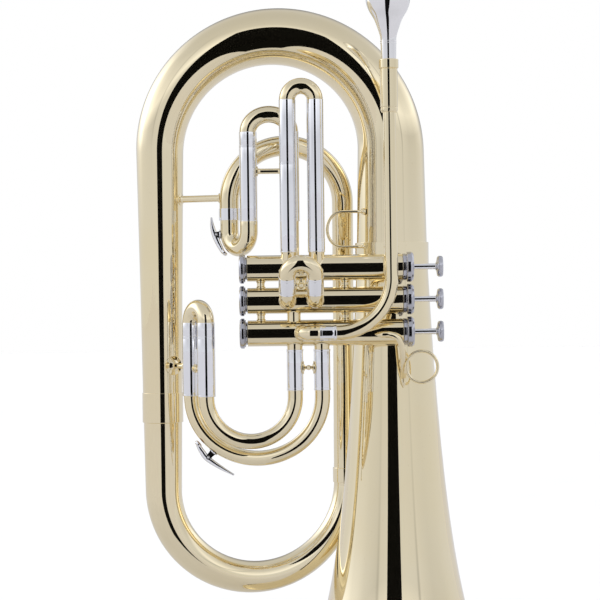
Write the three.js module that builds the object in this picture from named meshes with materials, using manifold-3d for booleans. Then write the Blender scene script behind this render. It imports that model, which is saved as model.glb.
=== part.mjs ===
// Euphonium in the upright marching wrap. Millimetres, +Z up, standing on its bell's rim at z = 0.
// +X is the side the buttons face, -Y is the side the player's hand comes from.
// Wind runs: mouthpiece, leadpipe, valves 3 to 1, main tuning slide, drain bend, loop pipe,
// bottom bow, top bow, bell. Every tube is a closed solid with its own bore.
import * as THREE from 'three';
import { mergeVertices } from 'three/addons/utils/BufferGeometryUtils.js';
import Module from 'manifold-3d';

const wasm = await Module();
wasm.setup();

// ---- driving dimensions ----
const GAP = 0.3; // clearance left between two pieces that touch
const WALL = 0.8; // wall of the drawn tubes
const SHEET = 0.65; // wall of the bell and the two bows

const BELL_X = 56.2; // the bell's upright axis, at Y = 0
const RIM_R = 128.6;
const RIM_BEAD = 2.4; // radius of the rolled rim
const BELL_TOP = 452.5; // where the bell's tail meets the top bow, inside its socket
const BELL_FLARE = 0.7; // exponent of the flare curve
const BELL_OFFSET = 76.5; // height added to z in the flare curve
const BELL_SEAMS = [64, 190]; // where the flare meets the throat, and the throat the tail
const BELL_SOCKET = { low: 440, high: 465, r: 35.2, bore: 34.4 }; // the tail's socket for the top bow
const BELL_SIDES = 28; // facets round the bell

const BOW_TOP_Z = 552; // centre height of the top bow
const BOW_LEFT_X = -162;
const BOW_JOINT_Z = 312; // where the top bow meets the bottom bow
const BOW_LOW_Z = 234.6; // centre height of the bottom bow

const LOOP_X = 10.5; // the loop pipe's upright leg behind the bell
const LOOP_Y = 41;
const LOOP_TOP_Z = 503.9;
const LOOP_END = { x: -96.2, y: -22, z: 492.5 };

const VALVE_Y = -54;
const VALVE_Z = [441.3, 411.6, 381.8];
const CASING = { r: 11.9, bore: 10.9, left: -79.3, right: 63, sides: 12 };
const PISTON = { r: 10.6, left: -50, right: 40, stemR: 2.7, stemEnd: 93 };
const CAP_R = 14;

const MAIN = { left: -77.5, right: -38.8, y: -44.5, low: 485, seam: 555, high: 567, rise: 16.5 };
const FIRST = { left: -40.9, right: -15.6, y: -61, low: 455.8, high: 594.7, seams: [537.7, 468.2] };
const SECOND = { left: -42.6, right: -17.2, out: -68, bendR: 12, tilt: 27, sleeve: 16.4 };
const THIRD = {
  ports: [-36.5, -11.7],
  feet: [[-117.4, -60], [-132.5, -37]],
  low: 325,
  seam: 379.6,
  high: 392,
};
const THIRD_DROP = [40.4, 56.7]; // how far the inner and outer pipes hang below their ends

// outer radii of a slide's sleeve, crook and inner leg, and the bore through all of them
const WIDE = { sleeve: 8.2, crook: 7.7, inner: 7.2, bore: 6.6 };
const NARROW = { sleeve: 7.8, crook: 7.4, inner: 6.8, bore: 6.2 };

const LEAD = { x: 51.7, y: -74, top: 588, bendR: 49, topR: 5.7, lowR: 6.6 };
const RECEIVER = { low: 581, high: 629, r: 8.05, collar: 8.9, bore: 7.25 };

const BRASS = new THREE.MeshStandardMaterial({ color: 0xcfae62, roughness: 0.12, metalness: 1 });
const NICKEL = new THREE.MeshStandardMaterial({ color: 0xc9cccf, roughness: 0.14, metalness: 1 });
const SILVER = new THREE.MeshStandardMaterial({ color: 0xe4e5ea, roughness: 0.08, metalness: 1 });
const STEEL = new THREE.MeshStandardMaterial({ color: 0x9a9da0, roughness: 0.3, metalness: 1 });

const UP = new THREE.Vector3(0, 0, 1);
const ALONG_X = new THREE.Vector3(1, 0, 0);
const ALONG_Y = new THREE.Vector3(0, 1, 0);

const euphonium = new THREE.Group();
const radians = THREE.MathUtils.degToRad;
const vec = (x, y, z) => new THREE.Vector3(x, y, z);
const stop = (x, y, z, r) => ({ at: vec(x, y, z), r }); // one station of a tube
const ease = (t) => t * t * (3 - 2 * t);

// ---- solids ----

// A solid for joining and cutting, from any closed three.js geometry.
function solidOf(geometry) {
  const bare = geometry.clone();
  bare.deleteAttribute('normal');
  bare.deleteAttribute('uv');
  const merged = mergeVertices(bare, 1e-4);
  const points = merged.attributes.position;
  const corner = [vec(), vec(), vec()];
  const kept = [];
  let volume = 0;
  for (let i = 0; i < merged.index.count; i += 3) {
    const triangle = [0, 1, 2].map((k) => merged.index.getX(i + k));
    if (new Set(triangle).size < 3) continue;
    triangle.forEach((vertex, k) => corner[k].fromBufferAttribute(points, vertex));
    volume += corner[0].dot(corner[1].cross(corner[2]));
    kept.push(triangle);
  }
  if (volume < 0) kept.forEach((triangle) => triangle.reverse());
  return new wasm.Manifold(new wasm.Mesh({
    numProp: 3,
    vertProperties: new Float32Array(points.array),
    triVerts: new Uint32Array(kept.flat()),
  }));
}

function geometryOf(solid) {
  const { vertProperties, triVerts } = solid.getMesh();
  const geometry = new THREE.BufferGeometry();
  geometry.setAttribute('position', new THREE.BufferAttribute(vertProperties, 3));
  geometry.setIndex(new THREE.BufferAttribute(triVerts, 1));
  geometry.computeVertexNormals();
  return geometry;
}

const joined = (...solids) => solids.reduce((whole, next) => whole.add(next));

function place(name, solid, material, parent = euphonium) {
  const mesh = new THREE.Mesh(geometryOf(solid), material);
  mesh.name = name;
  parent.add(mesh);
  return mesh;
}

// A turned solid about +Z from [radius, height] pairs. A profile that isn't on the axis closes on itself.
function turned(profile, sides) {
  const onAxis = profile[0][0] === 0;
  const loop = onAxis ? profile : [...profile, profile[0]];
  const outline = loop.map(([r, h]) => new THREE.Vector2(r, h));
  return solidOf(new THREE.LatheGeometry(outline, sides).rotateX(Math.PI / 2));
}

const rod = (r, low, high, sides) => turned([[0, low], [r, low], [r, high], [0, high]], sides);

function box(low, high) {
  const size = vec(...high).sub(vec(...low));
  const centre = vec(...low).addScaledVector(size, 0.5);
  return solidOf(new THREE.BoxGeometry(size.x, size.y, size.z).translate(centre.x, centre.y, centre.z));
}

// Turns a solid made about +Z so that it lies along a direction, and moves it to a point.
function laid(solid, direction, at) {
  const turn = new THREE.Quaternion().setFromUnitVectors(UP, direction.clone().normalize());
  return solid.transform(new THREE.Matrix4().compose(at, turn, vec(1, 1, 1)).elements);
}

// Points and radii round a bend: it starts at centre + out * size and sets off along ahead.
function bend(centre, out, ahead, degrees, steps, fromR, toR = fromR) {
  return Array.from({ length: steps + 1 }, (_, i) => {
    const angle = radians(degrees) * (i / steps);
    const at = centre.clone().addScaledVector(out, Math.cos(angle)).addScaledVector(ahead, Math.sin(angle));
    return { at, r: THREE.MathUtils.lerp(fromR, toR, i / steps) };
  });
}

// A half turn in a plane of constant Y: from one side of its centre, through a crown, to the other side.
// radii are the tube's outer radius at the start, the crown and the end.
function halfTurn(centre, fromSide, crown, radii, steps) {
  const side = ALONG_X.clone().multiplyScalar(fromSide);
  const middle = UP.clone().multiplyScalar(crown);
  return [
    ...bend(centre, side, middle, 90, steps, radii[0], radii[1]),
    ...bend(centre, middle, side.clone().negate(), 90, steps, radii[1], radii[2]).slice(1),
  ];
}

// Eases the Y of a run of stations from one value to another, by distance along them in X and Z.
function drift(stations, fromY, toY) {
  const reach = [0];
  for (let i = 1; i < stations.length; i += 1) {
    const [a, b] = [stations[i - 1].at, stations[i].at];
    reach.push(reach[i - 1] + Math.hypot(b.x - a.x, b.z - a.z));
  }
  const whole = reach[reach.length - 1];
  return stations.map(({ at, r }, i) => {
    const y = THREE.MathUtils.lerp(fromY, toY, ease(reach[i] / whole));
    return { at: vec(at.x, y, at.z), r };
  });
}

// A tube or rod through stations. bore is the inner radius, or a function of the outer one; 0 is a rod.
function pipe(stations, bore, sides = 8, across = ALONG_Y) {
  const steps = stations.length - 1;
  const MARK = 0.5; // radius that marks the inner ring of the unit section
  const section = new THREE.Shape().absarc(0, 0, 1, 0, 2 * Math.PI);
  if (bore !== 0) section.holes.push(new THREE.Path().absarc(0, 0, MARK, 0, 2 * Math.PI, true));
  const straight = { depth: 1, steps, bevelEnabled: false, curveSegments: sides / 2 };
  const geometry = new THREE.ExtrudeGeometry(section, straight);

  const runs = stations.slice(1).map(({ at }, i) => at.clone().sub(stations[i].at).normalize());
  const normal = across.clone();
  const frames = stations.map((_, i) => {
    const before = runs[Math.max(i - 1, 0)];
    const tangent = before.clone().add(runs[Math.min(i, steps - 1)]).normalize();
    normal.addScaledVector(tangent, -normal.dot(tangent)).normalize();
    return { normal: normal.clone(), side: tangent.clone().cross(normal) };
  });

  const points = geometry.attributes.position;
  const flat = vec();
  for (let i = 0; i < points.count; i += 1) {
    flat.fromBufferAttribute(points, i);
    const index = Math.round(flat.z * steps);
    const { at, r } = stations[index];
    const { normal: n, side } = frames[index];
    const reach = Math.hypot(flat.x, flat.y);
    const inner = typeof bore === 'function' ? bore(r) : bore;
    const scale = (reach < (1 + MARK) / 2 ? inner : r) / reach;
    const moved = at.clone().addScaledVector(n, flat.x * scale).addScaledVector(side, flat.y * scale);
    points.setXYZ(i, moved.x, moved.y, moved.z);
  }
  return solidOf(geometry);
}

const thinWall = (r) => r - WALL;
const sheetWall = (r) => r - SHEET;
// The bore of a slide's outer sleeve: wide enough for the inner leg, and a plain wall below the sleeve.
const sleeveBore = (size) => (r) => (r === size.sleeve ? size.inner + GAP : r - WALL);
const arcMid = (a, b) => a.clone().add(b).multiplyScalar(0.5);

// ---- bell, bows and loop ----

const bellRadius = (z) => 64.5 * (205 / (z + BELL_OFFSET)) ** BELL_FLARE;

// One length of the bell between two heights, as outer and inner points of its profile.
function bellWall(low, high, count) {
  const heights = Array.from({ length: count }, (_, i) => low + (high - low) * (i / (count - 1)) ** 1.4);
  return {
    outside: heights.map((z) => [bellRadius(z), z]),
    inside: heights.map((z) => [bellRadius(z) - SHEET, z]).reverse(),
  };
}

function makeBell() {
  const beadAt = RIM_R - RIM_BEAD;
  const flat = 1; // half width of the flat that the rim stands on
  const rim = [
    [beadAt - RIM_BEAD, RIM_BEAD],
    [beadAt - flat, 0],
    [beadAt + flat, 0],
    [RIM_R, RIM_BEAD * 0.7],
    [RIM_R - 0.5, RIM_BEAD * 1.5],
  ];
  const flare = bellWall(6, BELL_SEAMS[0], 4);
  const throat = bellWall(BELL_SEAMS[0] + GAP, BELL_SEAMS[1], 4);
  const { low, high, r, bore } = BELL_SOCKET;
  const tail = bellWall(BELL_SEAMS[1] + GAP, low, 4);
  const socket = [
    [r, low + 0.5],
    [r, high],
    [bore, high],
    [bore, BELL_TOP],
    [bellRadius(BELL_TOP) - SHEET, BELL_TOP],
  ];
  const lengths = {
    bell_flare: [...rim, ...flare.outside, ...flare.inside],
    bell_throat: [...throat.outside, ...throat.inside],
    bell_tail: [...tail.outside, ...socket, ...tail.inside],
  };
  for (const [name, outline] of Object.entries(lengths)) {
    place(name, turned(outline, BELL_SIDES), BRASS).position.set(BELL_X, 0, 0);
  }
}

function makeTopBow() {
  const size = (BELL_X - BOW_LEFT_X) / 2;
  const centre = vec(BELL_X - size, 0, BOW_TOP_Z);
  const stations = [
    stop(BELL_X, 0, BELL_TOP + GAP, 33.2),
    ...halfTurn(centre, size, size, [31.2, 26.5, 22.1], 6),
    stop(BOW_LEFT_X, 0, 421, 19.8),
    stop(BOW_LEFT_X, 0, BOW_JOINT_Z + GAP, 18.4),
  ];
  place('top_bow', pipe(stations, sheetWall, 14), BRASS);
}

function makeBottomBow() {
  const size = (LOOP_X - BOW_LEFT_X) / 2;
  const centre = vec(LOOP_X - size, 0, BOW_LOW_Z);
  const turn = halfTurn(centre, -size, -size, [17.1, 14.9, 11.1], 6);
  const stations = [
    stop(BOW_LEFT_X, 0, BOW_JOINT_Z, 18.3),
    ...drift(turn, 0, LOOP_Y),
    stop(LOOP_X, LOOP_Y, BOW_LOW_Z + 8, 11),
  ];
  place('bottom_bow', pipe(stations, sheetWall, 12), BRASS);
}

function makeLoopPipe() {
  const [lowR, legR, topR, endR] = [11, 10, 9.5, 9.1];
  const size = (LOOP_X - LOOP_END.x) / 2;
  const centre = vec(LOOP_X - size, 0, LOOP_TOP_Z);
  const leg = [0, 1, 2].map((i) => stop(LOOP_X, 0, LOOP_TOP_Z - 105 + i * 35, legR));
  const over = halfTurn(centre, size, size, [legR, topR, endR], 4);
  const stations = [
    stop(LOOP_X, LOOP_Y, BOW_LOW_Z + 8 + GAP, lowR),
    ...drift([...leg, ...over], LOOP_Y, LOOP_END.y),
    stop(LOOP_END.x, LOOP_END.y, LOOP_END.z + GAP, endR),
  ];
  place('loop_pipe', pipe(stations, thinWall, 10), BRASS);
}

// The U that turns back up from the loop pipe into the main tuning slide.
function makeDrainBend() {
  const straightEnd = 476;
  const [fromR, toR] = [8.6, WIDE.sleeve];
  const start = vec(LOOP_END.x, LOOP_END.y, straightEnd);
  const finish = vec(MAIN.left, MAIN.y, straightEnd);
  const centre = arcMid(start, finish);
  const down = UP.clone().multiplyScalar(-start.distanceTo(centre));
  const stations = [
    stop(LOOP_END.x, LOOP_END.y, LOOP_END.z, fromR),
    ...bend(centre, start.clone().sub(centre), down, 180, 6, fromR, toR),
    stop(MAIN.left, MAIN.y, MAIN.low - GAP, toR),
  ];
  place('drain_bend', pipe(stations, thinWall, 8), BRASS);
}

// The sleeve round the joint between the loop pipe and the drain bend.
function makeLoopFerrule() {
  const [low, high, tubeR] = [487, 498, 9.1];
  const inner = tubeR + GAP;
  const outer = inner + WALL;
  const profile = [[inner, low], [outer, low], [outer, high], [inner, high]];
  place('loop_ferrule', turned(profile, 10), NICKEL).position.set(LOOP_END.x, LOOP_END.y, 0);
}

// ---- valves ----

const casingCutter = (row) => laid(
  rod(CASING.r + GAP, CASING.left - 20, CASING.right + 20, CASING.sides),
  ALONG_X,
  vec(0, VALVE_Y, VALVE_Z[row]),
);

function makePiston() {
  const { r, left, right, stemR, stemEnd } = PISTON;
  const shell = turned([
    [0, stemEnd], [stemR, stemEnd], [stemR, right], [r, right],
    [r, left], [r - WALL, left], [r - WALL, right - 2], [0, right - 2],
  ], CASING.sides);
  const envelope = rod(r - WALL / 2, left, right, CASING.sides);
  const passageX = [-36, -13];
  return passageX.reduce((piston, x) => {
    const tube = laid(rod(NARROW.bore + WALL, -r, r, 6), ALONG_X, vec(0, 0, x)).intersect(envelope);
    const bore = laid(rod(NARROW.bore, -r - 1, r + 1, 6), ALONG_X, vec(0, 0, x));
    return piston.add(tube).subtract(bore);
  }, shell);
}

function makeSpring() {
  const [coilR, wireR, turns, perTurn] = [7.6, 0.7, 4, 7];
  const [low, high] = [CASING.left - 0.8 + wireR, PISTON.left - GAP - wireR];
  const stations = Array.from({ length: turns * perTurn + 1 }, (_, i) => {
    const angle = (2 * Math.PI * i) / perTurn;
    const height = THREE.MathUtils.lerp(low, high, i / (turns * perTurn));
    return stop(coilR * Math.cos(angle), coilR * Math.sin(angle), height, wireR);
  });
  return pipe(stations, 0, 4, UP);
}

function makeValve(row) {
  const valve = new THREE.Group();
  valve.position.set(0, VALVE_Y, VALVE_Z[row]);
  valve.rotation.set(0, Math.PI / 2, 0);
  euphonium.add(valve);
  const label = `valve_${row + 1}`;
  const { r, bore, left, right, sides } = CASING;
  const edge = right + GAP;
  const foot = left - GAP;
  const casing = turned([[bore, left], [r, left], [r, right], [bore, right]], sides);
  const topCap = turned([
    [10, edge], [12.6, edge], [12.6, edge + 4.6], [CAP_R, edge + 5.2],
    [CAP_R, edge + 10.4], [3.1, edge + 10.4], [3.1, edge + 8], [10, edge + 8],
  ], 12);
  const bottomCap = turned([
    [0, foot - 1.6], [10.4, foot - 1.6], [10.4, foot], [12.8, foot], [CAP_R, foot - 1.2],
    [CAP_R, foot - 5], [11.5, foot - 7.2], [0, foot - 7.2],
  ], 12);
  const buttonLow = PISTON.stemEnd + GAP;
  const button = turned([
    [0, buttonLow], [3.4, buttonLow], [9.6, buttonLow + 1.8], [9.6, buttonLow + 6],
    [8.9, buttonLow + 6.7], [0, buttonLow + 5.6],
  ], 12);
  place(`${label}_casing`, casing, BRASS, valve);
  place(`${label}_top_cap`, topCap, NICKEL, valve);
  place(`${label}_bottom_cap`, bottomCap, NICKEL, valve);
  place(`${label}_piston`, makePiston(), NICKEL, valve);
  place(`${label}_spring`, makeSpring(), STEEL, valve);
  place(`${label}_button`, button, NICKEL, valve);
}

// What stands in the gap between one casing and the next one up: two ball spacers and a wind pipe.
function makeCasingLinks(lower, pipeX) {
  const upper = lower - 1;
  const low = VALVE_Z[lower] + CASING.r + GAP;
  const high = VALVE_Z[upper] - CASING.r - GAP;
  const middle = (low + high) / 2;
  const ball = turned([
    [0, low], [2, low], [1.3, low + 1], [2.6, middle - 1], [2.6, middle + 1],
    [1.3, high - 1], [2, high], [0, high],
  ], 8);
  const pair = `${upper + 1}_${lower + 1}`;
  [['left', -67], ['right', 10]].forEach(([side, x]) => {
    place(`spacer_${pair}_${side}`, ball, BRASS).position.set(x, VALVE_Y, 0);
  });
  const link = pipe([
    stop(pipeX, VALVE_Y, VALVE_Z[lower], 6.2),
    stop(pipeX, VALVE_Y, VALVE_Z[upper], 6.2),
  ], thinWall, 8);
  const cut = link.subtract(casingCutter(lower)).subtract(casingCutter(upper));
  place(`valve_link_${pair}`, cut, BRASS);
}

// ---- slides ----

// A moving crook: two inner legs that run down inside their sleeves, a nickel step above each seam,
// and a bow over the top. feet are the two seams' places, top the height of the bow's start above them.
function makeCrook(name, feet, tops, up, rise, size, inside) {
  const step = 0.1; // length over which the tube widens at a shoulder
  const climb = (foot, top, reach) => {
    const height = top.clone().sub(foot).dot(up);
    const at = (h, r) => ({ at: foot.clone().addScaledVector(up, h), r });
    return [
      at(-reach, size.inner),
      at(GAP / 2, size.inner),
      at(GAP / 2 + step, size.sleeve),
      at(height - step, size.sleeve),
    ];
  };
  const centre = arcMid(tops[0], tops[1]);
  const out = tops[0].clone().sub(centre);
  const stations = [
    ...climb(feet[0], tops[0], inside[0]),
    ...bend(centre, out, up.clone().multiplyScalar(rise), 180, 6, size.crook),
    ...climb(feet[1], tops[1], inside[1]).reverse(),
  ];
  const across = up.clone().cross(out).normalize();
  return place(name, pipe(stations, size.bore, 8, across), BRASS);
}

// The main tuning slide's sleeves; the right one ends in a knuckle on the back of the first casing.
function makeMainSlide() {
  const { left, right, y, low, seam, high, rise } = MAIN;
  const r = WIDE.sleeve;
  const bore = sleeveBore(WIDE);
  const sleeveTop = seam - GAP / 2;
  place('main_slide_sleeve_left', pipe([stop(left, y, low, r), stop(left, y, sleeveTop, r)], bore), NICKEL);
  const knuckleR = NARROW.crook;
  const port = pipe([
    stop(right, y - 5.5, VALVE_Z[0], knuckleR),
    stop(right, y - 0.8, VALVE_Z[0] + 12, knuckleR),
    stop(right, y, VALVE_Z[0] + 18, knuckleR),
    stop(right, y, low - 0.6, knuckleR),
    stop(right, y, low, r),
    stop(right, y, sleeveTop, r),
  ], bore);
  const cut = port.subtract(casingCutter(0));
  place('main_slide_sleeve_right', cut, NICKEL);
  const [from, to] = [left + r + GAP, right - r - GAP];
  const brace = turned([
    [0, from], [3.4, from], [3, from + 1.4], [1.4, from + 4], [1.4, to - 4],
    [3, to - 1.4], [3.4, to], [0, to],
  ], 8);
  place('main_slide_brace', laid(brace, ALONG_X, vec(0, y, 531)), BRASS);
  const feet = [vec(left, y, seam), vec(right, y, seam)];
  const tops = [vec(left, y, high), vec(right, y, high)];
  makeCrook('main_slide_crook', feet, tops, UP, rise, WIDE, [50, 50]);
}

// The first valve's slide. Its right leg is shorter below the seam than its left one.
function makeFirstSlide() {
  const { left, right, y, low, high, seams } = FIRST;
  const knuckleR = NARROW.crook - 0.2;
  [['left', left, seams[0]], ['right', right, seams[1]]].forEach(([side, x, seam]) => {
    const sleeve = pipe([
      stop(x, y + 2.5, VALVE_Z[0], knuckleR),
      stop(x, y + 0.6, VALVE_Z[0] + 9, knuckleR),
      stop(x, y, low - 0.6, knuckleR),
      stop(x, y, low, NARROW.sleeve),
      stop(x, y, seam - GAP / 2, NARROW.sleeve),
    ], sleeveBore(NARROW));
    const cut = sleeve.subtract(casingCutter(0));
    place(`first_slide_sleeve_${side}`, cut, NICKEL);
  });
  const feet = [vec(left, y, seams[0]), vec(right, y, seams[1])];
  const tops = [vec(left, y, high), vec(right, y, high)];
  makeCrook('first_slide_crook', feet, tops, UP, (right - left) / 2, NARROW, [75, seams[1] - low]);
}

// The second valve's slide stands out from its casing and leans forward.
function makeSecondSlide() {
  const { left, right, out, bendR, tilt, sleeve } = SECOND;
  const z = VALVE_Z[1];
  const lean = radians(tilt);
  const up = vec(0, -Math.sin(lean), Math.cos(lean));
  const shift = (at, h) => at.clone().addScaledVector(up, h);
  const seams = [['left', left], ['right', right]].map(([side, x]) => {
    const centre = vec(x, out, z + bendR);
    const below = UP.clone().multiplyScalar(-bendR);
    const forward = ALONG_Y.clone().multiplyScalar(-bendR);
    const turn = bend(centre, below, forward, 90 - tilt, 4, NARROW.crook);
    const corner = turn[turn.length - 1].at;
    const end = shift(corner, sleeve - GAP / 2);
    const stations = [
      stop(x, VALVE_Y - 4, z, NARROW.crook),
      ...turn,
      { at: shift(corner, 0.6), r: NARROW.sleeve },
      { at: end, r: NARROW.sleeve },
    ];
    const elbow = pipe(stations, sleeveBore(NARROW), 8, ALONG_X);
    const cut = elbow.subtract(casingCutter(1));
    place(`second_slide_sleeve_${side}`, cut, BRASS);
    return shift(corner, sleeve);
  });
  const tops = seams.map((seam) => shift(seam, 1));
  makeCrook('second_slide_crook', seams, tops, up, (right - left) / 2, NARROW, [15, 15]);
}

// The third valve's slide: two pipes curve left under the valves to a pair of sleeves.
function makeThirdSlide() {
  const { ports, feet, low, seam, high } = THIRD;
  const pipeR = 7;
  ['inner', 'outer'].forEach((side, i) => {
    const [x, foot] = [ports[i], feet[i]];
    const size = (x - foot[0]) / 2;
    const centre = vec(x - size, 0, low - 1.5);
    const turn = halfTurn(centre, size, -THIRD_DROP[i], [pipeR, pipeR, pipeR], 5);
    const run = pipe([
      stop(x, VALVE_Y, VALVE_Z[2], pipeR + 0.5),
      stop(x, VALVE_Y, 329.5, pipeR + 0.5),
      ...drift(turn, VALVE_Y, foot[1]),
      stop(...foot, low - GAP, pipeR),
    ], NARROW.bore, 8);
    const cut = run.subtract(casingCutter(2));
    place(`third_valve_pipe_${side}`, cut, BRASS);
  });
  const seams = feet.map(([x, y]) => vec(x, y, seam));
  const tops = feet.map(([x, y]) => vec(x, y, high));
  const across = UP.clone().cross(seams[0].clone().sub(seams[1])).normalize();
  ['front', 'rear'].forEach((side, i) => {
    const [x, y] = feet[i];
    const ends = [stop(x, y, low, WIDE.sleeve), stop(x, y, seam - GAP / 2, WIDE.sleeve)];
    place(`third_slide_sleeve_${side}`, pipe(ends, sleeveBore(WIDE), 8, across), NICKEL);
  });
  const rise = seams[0].distanceTo(seams[1]) / 2;
  makeCrook('third_slide_crook', seams, tops, UP, rise, WIDE, [50, 50]);
}

// ---- leadpipe and mouthpiece ----

function makeLeadpipe() {
  const { x, y, top, bendR, topR, lowR } = LEAD;
  const z = VALVE_Z[2];
  const [jointX, elbowX] = [1.7, -13.6];
  const centre = vec(x - bendR, y, z + bendR);
  const right = ALONG_X.clone().multiplyScalar(bendR);
  const down = UP.clone().multiplyScalar(-bendR);
  const stations = [
    stop(x, y, top, topR),
    ...bend(centre, right, down, 90, 6, topR + 0.7, lowR),
    stop(jointX, y, z, lowR),
  ];
  place('leadpipe', pipe(stations, thinWall, 8), BRASS);

  const ferruleR = lowR + 0.4;
  const ferrule = pipe([stop(jointX - GAP, y, z, ferruleR), stop(elbowX, y, z, ferruleR)], thinWall);
  place('leadpipe_ferrule', ferrule, NICKEL);

  const elbowBend = 8.5;
  const elbowR = 7.2;
  const turnX = -20.5;
  const corner = vec(turnX, y + elbowBend, z);
  const front = ALONG_Y.clone().multiplyScalar(-elbowBend);
  const leftward = ALONG_X.clone().multiplyScalar(-elbowBend);
  const elbow = pipe([
    stop(elbowX - GAP, y, z, elbowR),
    ...bend(corner, front, leftward, 90, 4, elbowR),
    stop(turnX - elbowBend, VALVE_Y - 4, z, elbowR),
  ], NARROW.bore, 8, UP);
  place('leadpipe_elbow', elbow.subtract(casingCutter(2)), BRASS);
}

function makeReceiver() {
  const { low, high, r, collar, bore } = RECEIVER;
  const neck = LEAD.topR + GAP;
  const profile = [
    [neck, low], [r - 0.5, low], [r, low + 2], [r, high - 8.5], [collar, high - 8],
    [collar, high], [bore, high], [bore, low + 9], [neck, low + 7.5],
  ];
  place('receiver', turned(profile, 12), BRASS).position.set(LEAD.x, LEAD.y, 0);
}

function makeMouthpiece() {
  const mouth = RECEIVER.high;
  const profile = [
    [5.9, mouth - 27], [6.7, mouth - 0.3], [7.05, mouth + GAP], [7.1, mouth + 17], [8.55, mouth + 24],
    [13.2, mouth + 37], [20, mouth + 50], [20.3, mouth + 58], [20.3, mouth + 64.5], [19, mouth + 67],
    [17, mouth + 67.8], [14.8, mouth + 67], [13.6, mouth + 63], [13.4, mouth + 54], [11.9, mouth + 44],
    [6.4, mouth + 34], [3.3, mouth + 26], [5, mouth - 27],
  ];
  place('mouthpiece', turned(profile, 14), SILVER).position.set(LEAD.x, LEAD.y, 0);
}

// ---- rings, braces and water keys ----

function makeFingerRing() {
  const [x, y, z] = [79.5, -60, 349.8];
  const [outer, inner, half] = [14.5, 12.6, 2.4];
  const band = laid(
    turned([[inner, -half], [outer, -half], [outer, half], [inner, half]], 16),
    ALONG_Y,
    vec(x, y, z),
  );
  const rodR = 2.6;
  const bracket = pipe([
    stop(39, VALVE_Y - CASING.r - GAP - rodR, 379.8, rodR),
    stop(51, VALVE_Y - CASING.r - GAP - rodR, 379.8, rodR),
    stop(57.5, -68, 376.4, rodR),
    stop(61.4, -66, 369, rodR),
    stop(62.8, -62, 358, rodR),
    stop(62.8, -56.5, 347.5, rodR),
    stop(62.2, -48, 340, rodR),
    stop(61.8, -bellRadius(338) - 1.9, 338, rodR),
  ], 0, 8, UP);
  const foot = laid(rod(6.2, -1.2, 0, 10), ALONG_Y, vec(61.6, -bellRadius(338) - GAP - 0.5, 338));
  place('finger_ring', joined(band, bracket, foot), BRASS);
}

// A wire loop for the thumb, soldered to the bell's tail.
function makeThumbRing() {
  const [y, low, high, wireR] = [-20, 461, 494, 1.2];
  const half = (high - low) / 2;
  const centre = vec(9, y, low + half);
  const bottom = UP.clone().multiplyScalar(-half);
  const leftward = ALONG_X.clone().multiplyScalar(-14);
  const rootX = BELL_X - Math.sqrt(BELL_SOCKET.bore ** 2 - y ** 2) - 1.6;
  place('thumb_ring', pipe([
    stop(rootX, y, low, wireR),
    ...bend(centre, bottom, leftward, 180, 10, wireR),
    stop(rootX, y, high, wireR),
  ], 0, 6), BRASS);
}

// A turned brace between two upright tubes, with a flange at each end. from and to are the tubes' axes.
function makeBrace(name, from, to, fromR, toR, flanges, waist) {
  const way = to.clone().sub(from);
  const whole = way.length();
  const [low, high] = [fromR + GAP, whole - toR - GAP];
  const profile = [
    [0, low], [flanges[0], low], [flanges[0], low + 1.2], [waist, low + 3.6],
    [waist, high - 3.6], [flanges[1], high - 1.2], [flanges[1], high], [0, high],
  ];
  place(name, laid(turned(profile, 8), way, from), BRASS);
}

// A water key on a hinge along Y: a saddle with its pin, and a lever with its cork cup at one end.
// tube is the point of the tube's surface below the hinge, and cup and tip are the lever's two ends.
function makeWaterKey(label, hinge, tube, cup, cupAxis, tip) {
  const pinR = 0.9;
  const [leverHalf, earGap, earHalf] = [2.3, 2.7, 3.9];
  const pin = laid(rod(pinR, -earHalf, earHalf, 8), ALONG_Y, hinge);
  const way = tube.clone().sub(hinge);
  const reach = way.length() - GAP;
  const post = laid(box([-1.6, -earHalf, -1.4], [1.6, earHalf, reach]), way, hinge);
  const slot = laid(box([-3, -earGap, -3], [3, earGap, reach - 0.9]), way, hinge);
  place(`${label}_saddle`, joined(post.subtract(slot), pin), NICKEL);

  const barrel = laid(rod(1.9, -leverHalf, leverHalf, 8), ALONG_Y, hinge);
  const hole = laid(rod(pinR + 0.2, -leverHalf - 1, leverHalf + 1, 8), ALONG_Y, hinge);
  const bow = way.clone().normalize().multiplyScalar(-1.4);
  const bar = pipe([
    { at: tip.clone(), r: 1.5 },
    { at: tip.clone().lerp(hinge, 0.55).add(bow), r: 1.3 },
    { at: hinge.clone().add(bow), r: 1.3 },
    { at: hinge.clone().lerp(cup, 0.6).add(bow), r: 1.1 },
    { at: cup.clone(), r: 1.1 },
  ], 0, 6);
  const seat = laid(rod(3.6, -1.8, 1.2, 8), cupAxis, cup);
  const pad = laid(rod(3, -0.9, 0.9, 6), way, tip);
  place(`${label}_lever`, joined(bar, seat, pad, barrel).subtract(hole), NICKEL);
}

// ---- the whole instrument ----

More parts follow.
